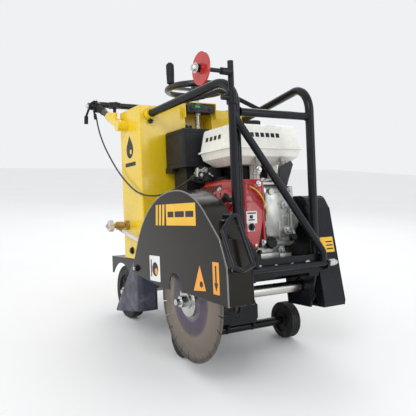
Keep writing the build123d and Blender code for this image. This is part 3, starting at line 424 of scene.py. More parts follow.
def circle(centre, radius, facing, steps, closed=False):
    """Points on a circle that faces x, y or z. When closed, the first point comes again at the end."""
    x, y, z = centre
    points = []
    for k in range(steps + closed):
        c, s = radius * cos(2 * pi * k / steps), radius * sin(2 * pi * k / steps)
        points.append({"x": (x, y + c, z + s), "y": (x + c, y, z + s), "z": (x + c, y + s, z)}[facing])
    return points


def round_outline(x, z, radius, steps=28):
    return [(px, pz) for px, _, pz in circle((x, 0, z), radius, "y", steps)]


def arc_through(first, middle, last, steps):
    """Points on the arc through three (x, z) points, both ends included."""
    (ax, az), (bx, bz), (cx, cz) = first, middle, last
    d = 2 * (ax * (bz - cz) + bx * (cz - az) + cx * (az - bz))
    a, b, c = ax ** 2 + az ** 2, bx ** 2 + bz ** 2, cx ** 2 + cz ** 2
    ux = (a * (bz - cz) + b * (cz - az) + c * (az - bz)) / d
    uz = (a * (cx - bx) + b * (ax - cx) + c * (bx - ax)) / d
    radius = sqrt((ax - ux) ** 2 + (az - uz) ** 2)
    start = atan2(az - uz, ax - ux)
    turn = atan2(cz - uz, cx - ux) - start
    turn -= 2 * pi if turn > pi else 0
    turn += 2 * pi if turn < -pi else 0
    return [(ux + radius * cos(start + turn * k / steps), uz + radius * sin(start + turn * k / steps))
            for k in range(steps + 1)]


def rounded(x0, x1, z0, z1, radius, steps=5):
    """Outline of a rectangle with rounded corners."""
    corners = ((x1 - radius, z1 - radius, 0), (x0 + radius, z1 - radius, 90), (x0 + radius, z0 + radius, 180),
               (x1 - radius, z0 + radius, 270))
    turns = [(cx, cz, radians(start + 90 * k / steps)) for cx, cz, start in corners for k in range(steps + 1)]
    return [(cx + radius * cos(turn), cz + radius * sin(turn)) for cx, cz, turn in turns]


def slanted(x0, x1, z0, z1, lean):
    """Outline of a bar whose top stands lean further forward than its foot."""
    return [(x0, z0), (x1, z0), (x1 + lean, z1), (x0 + lean, z1)]


# ---- camera, light and floor
CAMERA = (1892.9, -983.98, 653.55)
CAMERA_TURN = radians(59.32)
CAMERA_DOWN = radians(6.22)
CAMERA_ROLL = radians(1.57)
FOCAL = 46.10
SENSOR = 36.0
WORLD_COLOUR = (0.96, 0.98, 1.0, 1.0)
WORLD_STRENGTH = 0.90
# name, place, target, width, height, power, colour
LIGHTS = (("key", (2.4, -2.6, 3.0), (0, 0, 0.5), 1.6, 1.6, 46, (1, 1, 1)),
          ("fill", (3.2, 1.6, 1.6), (0.1, 0, 0.5), 1.0, 2.0, 16, (0.92, 0.96, 1.0)),
          ("rear", (-2.4, 1.8, 2.6), (0, 0, 0.5), 2.0, 1.6, 22, (1, 1, 1)),
          ("side", (-1.2, -3.4, 1.4), (0, 0, 0.5), 2.2, 1.2, 9, (1.0, 0.97, 0.92)))
FLOOR_HALF = 14.0
FLOOR_DROP = 0.0005


def make_camera():
    """The camera's place is given with the chassis tipped, before the model is centred."""
    a, e, r = CAMERA_TURN, CAMERA_DOWN, CAMERA_ROLL
    back = Vector((sin(a) * cos(e), -cos(a) * cos(e), sin(e)))
    right = Vector((cos(a), sin(a), 0))
    up = back.cross(right)
    across = right * cos(r) + up * sin(r)
    above = up * cos(r) - right * sin(r)
    centred = axle + Vector((0, REAR_Y / 1000, -REAR_R / 1000))
    place = Vector(CAMERA) / 1000 + centred
    data = bpy.data.cameras.new("camera")
    data.lens = FOCAL
    data.sensor_width = SENSOR
    data.dof.use_dof = False
    camera = bpy.data.objects.new("camera", data)
    camera.matrix_world = Matrix(((across.x, above.x, back.x, place.x), (across.y, above.y, back.y, place.y),
                                  (across.z, above.z, back.z, place.z), (0, 0, 0, 1)))
    bpy.context.scene.collection.objects.link(camera)
    bpy.context.scene.camera = camera


def area_light(name, place, target, width, height, power, colour):
    data = bpy.data.lights.new(name, "AREA")
    data.shape = "RECTANGLE"
    data.size = width
    data.size_y = height
    data.energy = power
    data.color = colour
    light = bpy.data.objects.new(name, data)
    light.location = place
    light.rotation_euler = (Vector(target) - Vector(place)).to_track_quat("-Z", "Y").to_euler()
    bpy.context.scene.collection.objects.link(light)


def make_studio():
    bpy.context.scene.view_settings.view_transform = "Standard"
    world = bpy.data.worlds.new("studio")
    bpy.context.scene.world = world
    world.use_nodes = True
    background = world.node_tree.nodes["Background"]
    background.inputs["Color"].default_value = WORLD_COLOUR
    background.inputs["Strength"].default_value = WORLD_STRENGTH
    for light in LIGHTS:
        area_light(*light)
    bm = bmesh.new()
    bmesh.ops.create_grid(bm, x_segments=4, y_segments=4, size=FLOOR_HALF)
    mesh = bpy.data.meshes.new("floor")
    bm.to_mesh(mesh)
    bm.free()
    floor = bpy.data.objects.new("floor", mesh)
    floor.location = (0, 0, -FLOOR_DROP)
    bpy.context.scene.collection.objects.link(floor)
    pale = surface("floor_pale", (0.90, 0.90, 0.90), 0.75, mottle=0.01, mottle_scale=2.0, grain_scale=200.0,
                   grain=0.00005)
    mesh.materials.append(pale)


make_camera()
make_studio()


# ---- cords
def nurbs(name, points, diameter):
    """A round cord on a smooth spline, and the points that its centre line follows."""
    data = bpy.data.curves.new(name, "CURVE")
    data.dimensions = "3D"
    spline = data.splines.new("NURBS")
    spline.points.add(len(points) - 1)
    for point, place in zip(spline.points, points):
        point.co = (*place, 1.0)
    spline.order_u = 3
    spline.use_endpoint_u = True
    spline.resolution_u = 8
    data.bevel_resolution = 4
    line = bpy.data.objects.new(name, data)
    bpy.context.scene.collection.objects.link(line)
    centre = bpy.data.meshes.new_from_object(line)
    path = [vert.co.copy() for vert in centre.vertices]
    data.bevel_depth = diameter / 2
    data.use_fill_caps = True
    return line, path


# the handlebar's arms slope down by SLOPE from BAR_TOP, and the throttle clamp is 41 mm along the right one
SLOPE = radians(25.0)
BAR_TOP = (-180, 858)
LEVER_X = BAR_TOP[0] + 41 * cos(SLOPE)
LEVER_Z = BAR_TOP[1] - 41 * sin(SLOPE)
CABLE_START = (LEVER_X + 8, -268.0, LEVER_Z - 31.2)
CABLE_MID = (138.0, -250.0, 508.0)
CABLE = (CABLE_START, (-118.0, -268.0, 762.0), (-96.0, -266.0, 718.0), (-66.0, -263.0, 674.0),
         (-28.0, -258.0, 630.0), (18.0, -254.0, 586.0), (74.0, -251.0, 543.0), CABLE_MID,
         (178.0, -250.0, 489.0), (222.0, -246.0, 471.0), (268.0, -234.0, 459.0), (310.0, -212.0, 457.0),
         (344.0, -184.0, 468.0), (368.0, -154.0, 487.0), (385.0, -123.2, 512.0))
HOSE = ((112.0, -266.0, 338.0), (138.0, -258.0, 326.0), (172.0, -254.0, 316.0), (210.0, -250.0, 307.0),
        (252.0, -244.0, 297.0), (300.0, -233.0, 287.0), (350.0, -226.0, 276.0), (395.0, -223.0, 268.0),
        (430.0, -222.0, 263.0))
LEAD = ((650.8, -74.0, 468.0), (668.0, -71.0, 462.0), (676.0, -54.0, 444.0), (672.0, -36.0, 418.0),
        (658.0, -20.0, 394.0), (634.0, -6.0, 378.0), (607.0, 4.0, 370.0))
CABLE_D = 0.006
HOSE_D = 0.0135
LEAD_D = 0.004


def make_throttle_cable():
    """The cable runs from the sliding handlebar to the engine, and bends between them."""
    line, path = nurbs("throttle_cable_line", [at(*p) for p in CABLE], CABLE_D)
    mesh = bpy.data.meshes.new_from_object(line)
    bpy.data.objects.remove(line)
    mesh.shade_smooth()
    mesh.materials.clear()
    mesh.materials.append(SURFACES["cable_black"])
    piece = bpy.data.objects.new("throttle_cable_sheath", mesh)
    bpy.context.scene.collection.objects.link(piece)
    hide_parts("throttle_cable")
    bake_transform(piece)


def make_fixed_cord(name, node, route, diameter, slot):
    """A cord with both of its ends on the chassis."""
    line, path = nurbs(name, [at(*p) for p in route], diameter)
    line.data.materials.append(SURFACES[slot])
    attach(line, "chassis")
    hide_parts(node)


make_throttle_cable()
make_fixed_cord("water_hose_run", "water_hose", HOSE, HOSE_D, "hose_grey")
make_fixed_cord("oil_alert_lead_run", "oil_alert_lead", LEAD, LEAD_D, "lead_yellow")

# ---- blade guard
GUARD_FACE = -318.0
GUARD_INNER = -245.6
GUARD_REAR = ((375, 318), (515, 436), (631, 459))
GUARD_TOP = ((631, 459), (728, 442), (800, 395))
GUARD_PIVOT = (354.0, 225.0)
FLAP_FACE = -313.0
FLAP_THICK = 0.003


def make_guard_details():
    rim = [(318, 209), (331, 243)] + arc_through(*GUARD_REAR, 26) + arc_through(*GUARD_TOP, 18)[1:]
    rim += [(866, 329), (893, 262), (895, 171)]
    bm = bmesh.new()
    # the rim bead carries the lighter grey finish, a painted highlight along the guard's rolled edge
    add_tube(bm, [(x, GUARD_FACE + 0.6, z) for x, z in rim], 2.1, sides=10)
    finish_piece("guard_rim_bead", bm, "guard_black", "guard", RIM_PAINTED_HIGHLIGHT, angle=70.0)
    # edge of the rim band on the machine's side
    bm = bmesh.new()
    add_tube(bm, [(x, GUARD_INNER, z) for x, z in rim[3:]], 1.7, sides=8)
    finish_piece("guard_inner_bead", bm, "guard_black", "guard", angle=70.0)
    # generic marks: slanted bars, a ruled panel, a pictogram, a caution triangle and an arrow
    marks = [(f"bar_{k}", slanted(509 + 22 * k, 523 + 22 * k, 363, 423, 6), 0.0, LABEL_YELLOW)
             for k in range(3)]
    marks.append(("panel", rounded(581, 753, 363, 423, 2), 0.0, LABEL_YELLOW))
    marks += [(f"panel_dash_{k}", rounded(x0, x1, 386, 402, 2), INK_PROUD, LABEL_INK)
              for k, (x0, x1) in enumerate(((592, 628), (636, 690), (698, 742)))]
    arrow = ((840, 266), (846, 266), (846, 224), (852, 224), (843, 204), (834, 224), (840, 224))
    marks += [("pictogram", rounded(455, 527, 196, 272, 3), 0.0, LABEL_WHITE),
              ("pictogram_disc", round_outline(494, 232, 21), INK_PROUD, LABEL_INK),
              ("pictogram_dot", round_outline(502, 226, 10), 0.6, LABEL_ORANGE),
              ("pictogram_bar", rounded(463, 470, 208, 260, 2), INK_PROUD, LABEL_INK),
              ("caution", ((764, 262), (729, 194), (792, 199)), 0.0, LABEL_ORANGE),
              ("caution_dot", round_outline(770, 214, 8), INK_PROUD, LABEL_INK),
              ("arrow_panel", rounded(828, 858, 196, 275, 2), 0.0, LABEL_ORANGE),
              ("arrow", arrow, INK_PROUD, LABEL_INK)]
    for name, outline, proud, material in marks:
        side_card(f"guard_{name}", "guard", "guard_black", outline, GUARD_FACE - proud, material=material)
    # weld beads at the feet of the handle
    weld("guard_handle_welds", "guard", "guard_black", (circle((896.0, -298, 259), 8, "x", 12, closed=True),
                                                        circle((826, -276, 375.0), 8, "z", 12, closed=True)))
    # threaded end of the pivot
    x, z = GUARD_PIVOT
    bm = bmesh.new()
    add_rod(bm, (x, -326, z), (x, -330, z), 6)
    finish_piece("guard_pivot_thread", bm, "guard_black", "chassis", SURFACES["zinc"], angle=25.0)


def make_flap():
    """A sheet of tinted rubber that hangs behind the blade and folds round the guard's rear corner."""
    section = [(x, FLAP_FACE) for x in (*range(140, 301, 10), 312, 322, 332)]
    section += [(340 + 15 * sin(radians(a)), -298 - 15 * cos(radians(a))) for a in (0, 22, 45, 68, 90)]
    section += [(355, y) for y in (-286.0, -274.0, -262.0, -251.5)]
    bm = bmesh.new()
    rows = 14
    grid = []
    for x, y in section:
        # the free edge slants up from the rear tip, and the end round the corner is cut level
        top = min(244.0, 66 + (x - 143) * 1.023) if x < 333 else 204.0
        bottom = 84.0 if x >= 345 else 57.5 + (x - 140) * 0.128
        column = []
        for k in range(rows + 1):
            t = k / rows
            z = bottom + (top - bottom) * t
            free = max(0.0, min(1.0, (300 - x) / 100)) * (1 - t) ** 0.7
            wave = free * (4.0 * sin(x * 0.052 + 0.6) + 1.6 * sin(z * 0.06 + x * 0.02))
            column.append(bm.verts.new((x, y + wave, z)))
        grid.append(column)
    for left, right in zip(grid, grid[1:]):
        for k in range(rows):
            bm.faces.new((left[k], right[k], right[k + 1], left[k + 1]))
    cut = sum(face.calc_area() for face in bm.faces) / 1e6
    piece = finish_piece("guard_flap_sheet", bm, "flap_blue", "guard", angle=60.0)
    skin = piece.modifiers.new("thickness", "SOLIDIFY")
    skin.thickness = FLAP_THICK
    skin.offset = 0.0
    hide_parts("guard_flap")


# ---- chassis, tank and belt guard
SIDES = (-1, 1)
TANK_SIDE = -238.0
BELT_GUARD_SIDE = 240.0
SCREW_X = 225


def front_of_belt_guard(z):
    """The belt guard's front, which runs 56 mm forward as it drops 296 mm."""
    return 648 + (396 - z) * 56 / 296


def make_belt_guard_marks():
    slope = (296, 0, 56)
    corners = front_corners(178, 232, 253, 301, front_of_belt_guard(253), front_of_belt_guard(301))
    card("belt_guard_panel", "chassis", "black_paint", corners, slope, material=LABEL_YELLOW)
    for k in range(3):
        z0, z1 = 262 + 11 * k, 266 + 11 * k
        corners = front_corners(200, 227, z0, z1, front_of_belt_guard(z0) + INK_PROUD,
                                front_of_belt_guard(z1) + INK_PROUD)
        card(f"belt_guard_panel_rule_{k}", "chassis", "black_paint", corners, slope, material=LABEL_INK)


def make_tank_details():
    # generic droplet with a bar, on the side of the water tank
    drop = [(137, 683)]
    drop += [(137 + 31 * sin(radians(a)), 632 - 31 * cos(radians(a))) for a in range(128, -129, -16)]
    side_card("tank_droplet", "chassis", "tank_yellow", drop, TANK_SIDE, material=LABEL_INK)
    side_card("tank_droplet_shine", "chassis", "tank_yellow", round_outline(146, 624, 9, 20),
              TANK_SIDE - INK_PROUD, material=SURFACES["tank_yellow"])
    side_card("tank_bar", "chassis", "tank_yellow", rounded(90, 186, 572, 586, 3), TANK_SIDE,
              material=LABEL_INK)
    bolts("tank_bolts", "chassis", "black_paint", (((126, TANK_SIDE, 265), BLADE_SIDE, 17, 8),
                                                   ((205, TANK_SIDE, 265), BLADE_SIDE, 13, 6)))
    bm = bmesh.new()
    for s in SIDES:
        add_rod(bm, (243, s * 199, 733), (243, s * 199, 716), 5.5)
        add_bolt(bm, (243, s * 199, 724), (0, 0, -1), 13, 8)
    finish_piece("hoop_socket_bolts", bm, "black_paint", "chassis", angle=25.0)
    card("bearing_block_mark", "chassis", "bearing_grey", front_corners(-24, -4, 779, 787, 254), FRONT,
         0.5, LABEL_GREEN)
    # welded seams of the tank's sockets and hood, and of the tank on the deck
    seams = []
    for s in SIDES:
        seams.append(circle((234.5, s * 200, 748), 20.6, "x", 18, closed=True))
        seams.append([(150, s * 66.4, 779.6), (232, s * 66.4, 779.6)])
    weld("tank_welds", "chassis", "tank_yellow", seams, radius=1.7, step=2.4)
    seams = [[(x0, -237.6, 234.6), (x1, -237.6, 234.6)] for x0, x1 in ((150, 232), (52, 140))]
    weld("deck_welds", "chassis", "black_paint", seams, radius=1.9)


def make_frame_details():
    cage = []
    for s in SIDES:
        cage.append(circle((687, s * 124.0, 680), 12.6, "y", 16, closed=True))
        cage.append(circle((687, s * 138, 246.6), 15, "z", 16, closed=True))
    weld("cage_welds", "chassis", "black_paint", cage, radius=2.0)
    # bolts of the cage's feet and of the front crossmember
    placed = []
    for s in SIDES:
        placed += [((640, s * 128, 235.5), UP, 13, 7), ((560, s * 128, 235.5), UP, 13, 7),
                   ((707, s * 90, 228), FRONT, 13, 7), ((707, s * 30, 228), FRONT, 10, 5)]
    bolts("frame_bolts", "chassis", "zinc", placed)
    bm = bmesh.new()
    add_rod(bm, (720, -140, 226), (720, -146, 226), 11)
    add_bolt(bm, (720, -145.5, 226), BLADE_SIDE, 17, 9, washer=False)
    add_bolt(bm, (720, 180, 226), BELT_SIDE, 19, 9, washer=False)
    add_rod(bm, (720, 189, 226), (720, 195, 226), 6)
    finish_piece("pointer_pivot_nuts", bm, "zinc", "chassis", angle=25.0)
    bolts("rear_axle_bolts", "chassis", "zinc", [((0, s * 230, REAR_R), (0, s, 0), 19, 8) for s in SIDES])


def make_belt_guard_edges():
    front = [(648, 396), (704, 100)]
    bm = bmesh.new()
    add_tube(bm, [(x, BELT_GUARD_SIDE + 0.2, z) for x, z in front + [(701, 86)]], 1.5, sides=8)
    add_tube(bm, [(x + 0.4, 155.4, z) for x, z in front], 1.5, sides=8)
    finish_piece("belt_guard_beads", bm, "black_paint", "chassis", angle=70.0)
    screws = ((520, 410), (616, 410), (680, 112), (572, 112))
    bolts("belt_guard_screws", "chassis", "zinc",
          [((x, BELT_GUARD_SIDE, z), BELT_SIDE, 13, 6) for x, z in screws])


# ---- engine
CRANK = (557.0, 368.0)
SHROUD_FACE = 650.0
CRANKCASE_FACE = 600.0
# the fuel tank's walls lean in above its seam
FUEL_TANK_FRONT = 599.0
FUEL_TANK_SIDE = -97.0
FUEL_TANK_SEAM = 592.0
FUEL_TANK_TAPER = radians(12)


def make_shroud_details():
    card("shroud_panel", "chassis", "red_paint", front_corners(-89, -51, 357, 394, SHROUD_FACE), FRONT,
         material=LABEL_WHITE)
    for k, mark in enumerate(((-85, -55, 386, 390), (-82, -60, 366, 370), (-78, -66, 372, 382))):
        card(f"shroud_panel_mark_{k}", "chassis", "red_paint", front_corners(*mark, SHROUD_FACE + INK_PROUD),
             FRONT, material=LABEL_INK)
    card("switch_bezel", "chassis", "red_paint", front_corners(-87, -61, 334, 360, SHROUD_FACE), FRONT,
         1.2, LABEL_WHITE)
    # raised dark ink bars where the cooling slots of the rear shoulder are: painted shade standing in for the
    # slots' dark openings
    for row, (z0, z1, first, count) in enumerate(((459, 479, 396, 9), (434, 453, 392, 6))):
        for k in range(count):
            x = first + 15 * k
            side_card(f"shroud_slot_shade_{row}_{k}", "chassis", "black_plastic", slanted(x, x + 8, z0, z1, 7),
                      -97.0, 1.4, LABEL_INK)
    # flange screws round the recoil cover, and its raised rings
    placed = []
    for angle in range(20, 360, 72):
        placed.append(((CRANK[0] + 95 * cos(radians(angle)), -118, CRANK[1] + 95 * sin(radians(angle))),
                       BLADE_SIDE, 10, 5))
    bolts("recoil_screws", "chassis", "zinc", placed)
    bm = bmesh.new()
    for radius, y, size in ((101, -98.5, 2.6), (62, -130, 2.2), (46, -130, 1.6)):
        add_tube(bm, circle((CRANK[0], y, CRANK[1]), radius, "y", 60), size, sides=8, closed=True)
    finish_piece("recoil_rings", bm, "red_paint", "chassis", angle=70.0)
    # ribs on the front of the shroud
    bm = bmesh.new()
    for z in (420, 440, 460):
        add_box(bm, 648, 651.5, -84, -34, z, z + 5, 1.2)
    add_box(bm, 640, 652, -30, -22, 300, 470, 1.5)
    finish_piece("shroud_ribs", bm, "red_paint", "chassis", angle=40.0)
    bolts("shroud_screws", "chassis", "zinc", (((648, -28, 300), FRONT, 10, 5),
                                               ((650, -40, 476), (1, 0, 0.2), 10, 5),
                                               ((648, -60, 292), FRONT, 10, 5)))


def make_crankcase_details():
    face = CRANKCASE_FACE
    bm = bmesh.new()
    # raised cover with its ribs, the parting flange, the side cover's edge, and two foot blocks
    for block in ((face - 20, face + 9, 12, 104, 306, 452, 9.0), (face - 3, face + 8, 4, 10, 292, 462, 1.6),
                  (face - 3, face + 13, 60, 66, 300, 360, 2.0),
                  (face - 10, face + 6, 112, 126, 286, 470, 2.0), (486, face + 8, -6, 120, 283, 293, 2.0),
                  (500, 596, 4, 118, 474, 484, 3.0), (606, 634, -30, 40, 237, 263, 1.5),
                  (606, 630, 46, 92, 237, 258, 1.5)):
        add_box(bm, *block)
    finish_piece("crankcase_ribs", bm, "aluminium", "chassis", angle=40.0)
    bm = bmesh.new()
    # timing bosses, drain plug, dipstick neck and breather
    for rod in (((596, 84, 410), (616, 84, 410), 15, 13), ((596, 36, 452), (613, 36, 452), 10),
                ((596, 90, 330), (619, 90, 330), 17, 15), ((598, 62, 268), (618, 62, 268), 10),
                ((598, 100, 300), (626, 100, 306), 11), ((552, 96, 478), (552, 96, 500), 14)):
        add_rod(bm, *rod)
    finish_piece("crankcase_bosses", bm, "aluminium", "chassis", angle=30.0)
    placed = [((face + 8, y, z), FRONT, 12, 6)
              for y, z in ((7, 300), (7, 350), (7, 410), (7, 456), (110, 456), (118, 390), (118, 320),
                           (110, 296), (86, 372))]
    placed += [((616, 84, 410), FRONT, 14, 7), ((619, 90, 330), FRONT, 17, 8),
               ((618, 62, 268), FRONT, 15, 8)]
    bolts("crankcase_bolts", "chassis", "zinc", placed)
    bm = bmesh.new()
    # oil filler with its grip ribs, dipstick grip, sensor body and foot bolts
    add_rod(bm, (614, 20, 291), (628, 20, 295), 17)
    for (_, y, z) in circle((0, 20, 292), 16, "x", 8):
        add_rod(bm, (616, y, z), (629, y, z + 3), 3.2, sides=8)
    add_rod(bm, (624, 100, 305.4), (640, 100, 308), 12, 10)
    add_rod(bm, (604, -2, 372), (616, -2, 372), 7)
    for y in (-22, 84):
        add_bolt(bm, (616, y, 262), UP, 14, 10)
    finish_piece("crankcase_plugs", bm, "black_plastic", "chassis", angle=30.0)


def make_tank_stays():
    """Pipe elbows that carry the fuel tank on the crankcase, and the dark plate beside them."""
    bm = bmesh.new()
    for y in (8, 104):
        elbow = [(574, y, 484), (574, y, 520), (578, y, 534), (588, y, 542), (590, y, 560)]
        add_tube(bm, elbow, 9.5, sides=16)
        for x, z0, z1, radius in ((574, 482, 496, 14), (574, 508, 514, 13), (590, 550, 562, 13)):
            add_rod(bm, (x, y, z0), (x, y, z1), radius)
    add_tube(bm, [(574, 24, 486), (574, 56, 492), (574, 88, 486)], 6, sides=12)
    finish_piece("tank_stays", bm, "aluminium", "chassis", angle=45.0)
    bolts("tank_stay_bolts", "chassis", "zinc", (((588, 8, 524), FRONT, 12, 7),
                                                 ((588, 104, 524), FRONT, 12, 7),
                                                 ((584, 26, 490), (1, 0, 0.4), 11, 6)))
    outline = ((76, 452), (86, 436), (98, 446), (137, 540), (128, 552), (82, 528))
    bm = bmesh.new()
    add_prism(bm, [(594, y, z) for y, z in outline], [(600, y, z) for y, z in outline])
    finish_piece("stay_plate", bm, "bearing_grey", "chassis", angle=30.0)


def coil(bm, a, b, radius, wire, turns, steps=10):
    """A small tension spring from a to b."""
    a, b = Vector(a), Vector(b)
    turn = aim(b - a)
    points = []
    for k in range(turns * steps + 1):
        angle = 2 * pi * k / steps
        around = turn @ Vector((radius * cos(angle), radius * sin(angle), 0))
        points.append(a.lerp(b, k / (turns * steps)) + around)
    add_tube(bm, points, wire, sides=6)


def make_intake_details():
    bm = bmesh.new()
    # manifold, choke housing, the governor arm's bracket, and the ribbed shroud over the cylinder
    for block in ((394, 440, -82, -40, 500, 544, 4.0), (352, 400, -92, -54, 540, 552, 3.0),
                  (404, 470, -66, -30, 494, 510, 2.0)):
        add_box(bm, *block)
    add_rod(bm, (362, -96, 520), (362, -84, 520), 12)
    for block in ((384, 446, -112, -108, 506, 526, 1.0), (440, 446, -112, -80, 496, 526, 1.0),
                  (398, 514, -16, 112, 486, 550, 7.0)):
        add_box(bm, *block)
    for y in (2, 30, 58, 86):
        add_box(bm, 512, 518, y, y + 12, 494, 540, 1.5)
    finish_piece("intake_housing", bm, "black_plastic", "chassis", angle=35.0)
    bm = bmesh.new()
    # governor rods, their pins and plates, and two springs
    add_tube(bm, [(392, -114, 518), (430, -112, 534), (446, -104, 542)], 1.6, sides=8)
    add_tube(bm, [(366, -98, 524), (396, -104, 540), (436, -100, 530), (462, -84, 512)], 1.5, sides=8)
    add_rod(bm, (372, -100, 512), (372, -88, 512), 6)
    add_rod(bm, (400, -110, 536), (400, -84, 536), 5)
    add_box(bm, 396, 416, -115, -112, 514, 544, 0.6)
    add_box(bm, 420, 460, -96, -93, 516, 524, 0.6)
    coil(bm, (404, -112, 540), (440, -104, 528), 3.2, 0.8, 12)
    coil(bm, (376, -106, 530), (402, -106, 516), 2.8, 0.7, 10)
    finish_piece("governor_linkage", bm, "zinc", "chassis", angle=40.0)
    bolts("intake_bolts", "chassis", "zinc", (((416, -82, 536), BLADE_SIDE, 10, 5),
                                              ((416, -82, 508), BLADE_SIDE, 10, 5),
                                              ((438, -112, 518), BLADE_SIDE, 9, 4),
                                              ((362, -96, 520), BLADE_SIDE, 12, 5)))
    # lid lines and wing nut of the air cleaner
    bm = bmesh.new()
    for z in (566, 668):
        corner = [(250, -146.2, z), (367, -146.2, z), (379.2, -134, z), (379.2, -42, z)]
        add_tube(bm, corner, 1.3, sides=8)
    add_rod(bm, (312, -86, 686), (312, -86, 696), 12, 10)
    for s in SIDES:
        add_box(bm, 312 - 3, 312 + 3, -86 + s * 8 - 5, -86 + s * 8 + 5, 690, 702, 1.5)
    finish_piece("air_cleaner_trim", bm, "black_plastic", "chassis", angle=45.0)


def make_fuel_tank_details():
    """Rows of dashes on the fuel tank's leaning front and side."""
    low, high = 626, 640
    low_in, high_in = ((z - FUEL_TANK_SEAM) * tan(FUEL_TANK_TAPER) for z in (low, high))
    lean, level = sin(FUEL_TANK_TAPER), cos(FUEL_TANK_TAPER)
    for k in range(6):
        y = -22 + 20 * k
        corners = front_corners(y, y + 14, low, high, FUEL_TANK_FRONT - low_in, FUEL_TANK_FRONT - high_in)
        card(f"fuel_tank_dash_{k}", "chassis", "tank_white", corners, (level, 0, lean), 0.3, LABEL_INK)
    low_y, high_y = FUEL_TANK_SIDE + low_in, FUEL_TANK_SIDE + high_in
    for k in range(4):
        x = 430 + 26 * k
        corners = ((x, low_y, low), (x + 16, low_y, low), (x + 16, high_y, high), (x, high_y, high))
        card(f"fuel_tank_side_dash_{k}", "chassis", "tank_white", corners, (0, -level, lean), 0.3, LABEL_INK)


def make_muffler_details():
    bm = bmesh.new()
    add_box(bm, 262, 370, -28, -24, 566, 650, 1.6)
    for k in range(7):
        add_box(bm, 272 + 13 * k, 278 + 13 * k, -29.5, -27, 576, 640, 0.8)
    finish_piece("muffler_shield", bm, "bearing_grey", "chassis", angle=40.0)


def make_rope():
    """The starter rope pays out between the cover's eye and the grip."""
    start, end = Vector((619, -104, 430)), Vector((619, -124, 430))
    bm = bmesh.new()
    add_tube(bm, [start.lerp(end, k / 40) for k in range(41)], 2.0, sides=10)
    piece = finish_piece("starter_rope", bm, "black_plastic", None, SURFACES["cable_black"], angle=60.0)
    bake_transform(piece)


# ---- controls, wheels and depth screw
def make_handlebar_details():
    x, z = LEVER_X, LEVER_Z
    bm = bmesh.new()
    # clamp plate, clamp screws, cable barrel, and a bent guide at the cable's upper end
    add_box(bm, x - 16, x + 16, -272, -242, z - 22, z - 14, 2.0)
    add_rod(bm, (x + 14, -268, z - 24), (x + 14, -268, z + 20), 5)
    add_rod(bm, (x - 12, -290, z - 4), (x - 12, -290, z + 16), 4)
    add_rod(bm, (x + 4, -282, z + 10), (x + 4, -262, z + 24), 7)
    guide = [(x + 18, -276, z - 4), (x + 26, -280, z - 24), (x + 22, -278, z - 46), (x + 10, -272, z - 52)]
    add_tube(bm, guide, 4.0, sides=10)
    finish_piece("throttle_clamp_parts", bm, "black_plastic", "bars", angle=35.0)
    bolts("throttle_clamp_bolts", "bars", "zinc", (((x, -297, z), BLADE_SIDE, 12, 6),
                                                   ((x + 14, -268, z + 20), UP, 10, 5)))
    # raised rings of the two hand grips
    heading = Vector((cos(SLOPE), 0, -sin(SLOPE)))
    bm = bmesh.new()
    for s in SIDES:
        for k in range(9):
            place = Vector((BAR_TOP[0], s * 257, BAR_TOP[1])) + heading * (54 + 8 * k)
            add_rod(bm, place - heading * 2.4, place + heading * 2.4, 14.6, sides=28)
    finish_piece("handlebar_grip_rings", bm, "bar_black", "bars", SURFACES["rubber"], angle=35.0)


def make_sight_nut():
    bm = bmesh.new()
    add_bolt(bm, (728, -287, 779), BLADE_SIDE, 17, 9)
    add_rod(bm, (728, -296, 779), (728, -299, 779), 5)
    finish_piece("sight_disc_nut", bm, "zinc", "pointer_rod", angle=25.0)


def make_depth_screw_details():
    """The screw's thread of 6 mm pitch, its block's bolts and the handwheel's nut."""
    points = [(SCREW_X + 8.7 * cos(a), 8.7 * sin(a), 70 + 6 * a / (2 * pi))
              for a in (2 * pi * k / 10 for k in range(1130))]
    bm = bmesh.new()
    add_tube(bm, points, 1.1, sides=5)
    finish_piece("depth_screw_thread", bm, "steel", "screw", SURFACES["zinc"], angle=60.0)
    bolts("screw_block_bolts", "chassis", "bearing_grey", [((254, y, 777), FRONT, 11, 6) for y in (-38, 38)])
    bolts("handwheel_nut", "screw", "zinc", (((SCREW_X, 0, 866), UP, 19, 9),))


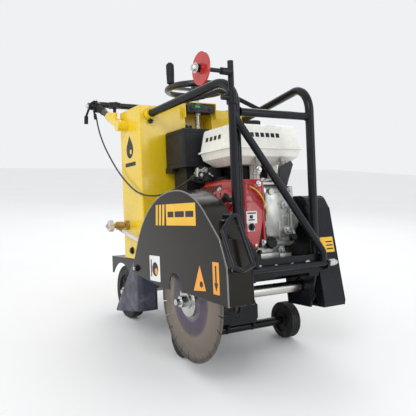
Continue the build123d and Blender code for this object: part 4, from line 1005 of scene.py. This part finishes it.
def make_valve_nuts():
    bolts("valve_nut", "tap", "zinc", (((93, -318, 358), BLADE_SIDE, 11, 5),))
    bm = bmesh.new()
    add_bolt(bm, (93, -246, 358), BLADE_SIDE, 30, 8, washer=False)
    finish_piece("valve_hexagon", bm, "brass", "chassis", angle=25.0)


def wheel_centre(node):
    low, high = (TIP.inverted() @ Vector(corner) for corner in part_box(node))
    return (low + high) / 2


def make_wheel_trim(wheel, side, studs, first, stud_circle, stud, stud_y, bead_circle, bead_y, bead, steps):
    """Hub studs and a raised bead on a wheel's outer face, at stud_y and bead_y from the middle."""
    centre = wheel_centre(wheel)
    bm = bmesh.new()
    for k in range(studs):
        a = radians(360 / studs * k + first)
        x, z = centre.x + stud_circle * cos(a), centre.z + stud_circle * sin(a)
        add_rod(bm, (x, side * stud_y, z), (x, side * (stud_y + 6.5), z), stud)
    ring = circle((centre.x, side * bead_y, centre.z), bead_circle, "y", steps)
    add_tube(bm, ring, bead, sides=8, closed=True)
    end, _, hand = wheel.split("_")
    finish_piece(f"{wheel}_trim", bm, "tyre", f"{end}_wheel_{hand[0]}", angle=40.0)


def make_wheel_details():
    for hand, side in (("right", -1), ("left", 1)):
        make_wheel_trim(f"front_wheel_{hand}", side, studs=5, first=18, stud_circle=31, stud=4.2, stud_y=213,
                        bead_circle=41, bead_y=221.4, bead=1.6, steps=44)
        centre = wheel_centre(f"front_wheel_{hand}")
        bolts(f"front_axle_{hand}_nut", "swing", "zinc",
              (((centre.x, side * 230, centre.z), (0, side, 0), 17, 5),))
        make_wheel_trim(f"rear_wheel_{hand}", side, studs=6, first=0, stud_circle=50, stud=5.2, stud_y=211,
                        bead_circle=66, bead_y=218.4, bead=1.9, steps=56)


for make in (make_guard_details, make_flap, make_belt_guard_marks, make_tank_details, make_frame_details,
             make_belt_guard_edges, make_shroud_details, make_crankcase_details, make_tank_stays,
             make_intake_details, make_fuel_tank_details, make_muffler_details, make_rope,
             make_handlebar_details, make_sight_nut, make_depth_screw_details, make_valve_nuts,
             make_wheel_details):
    make()
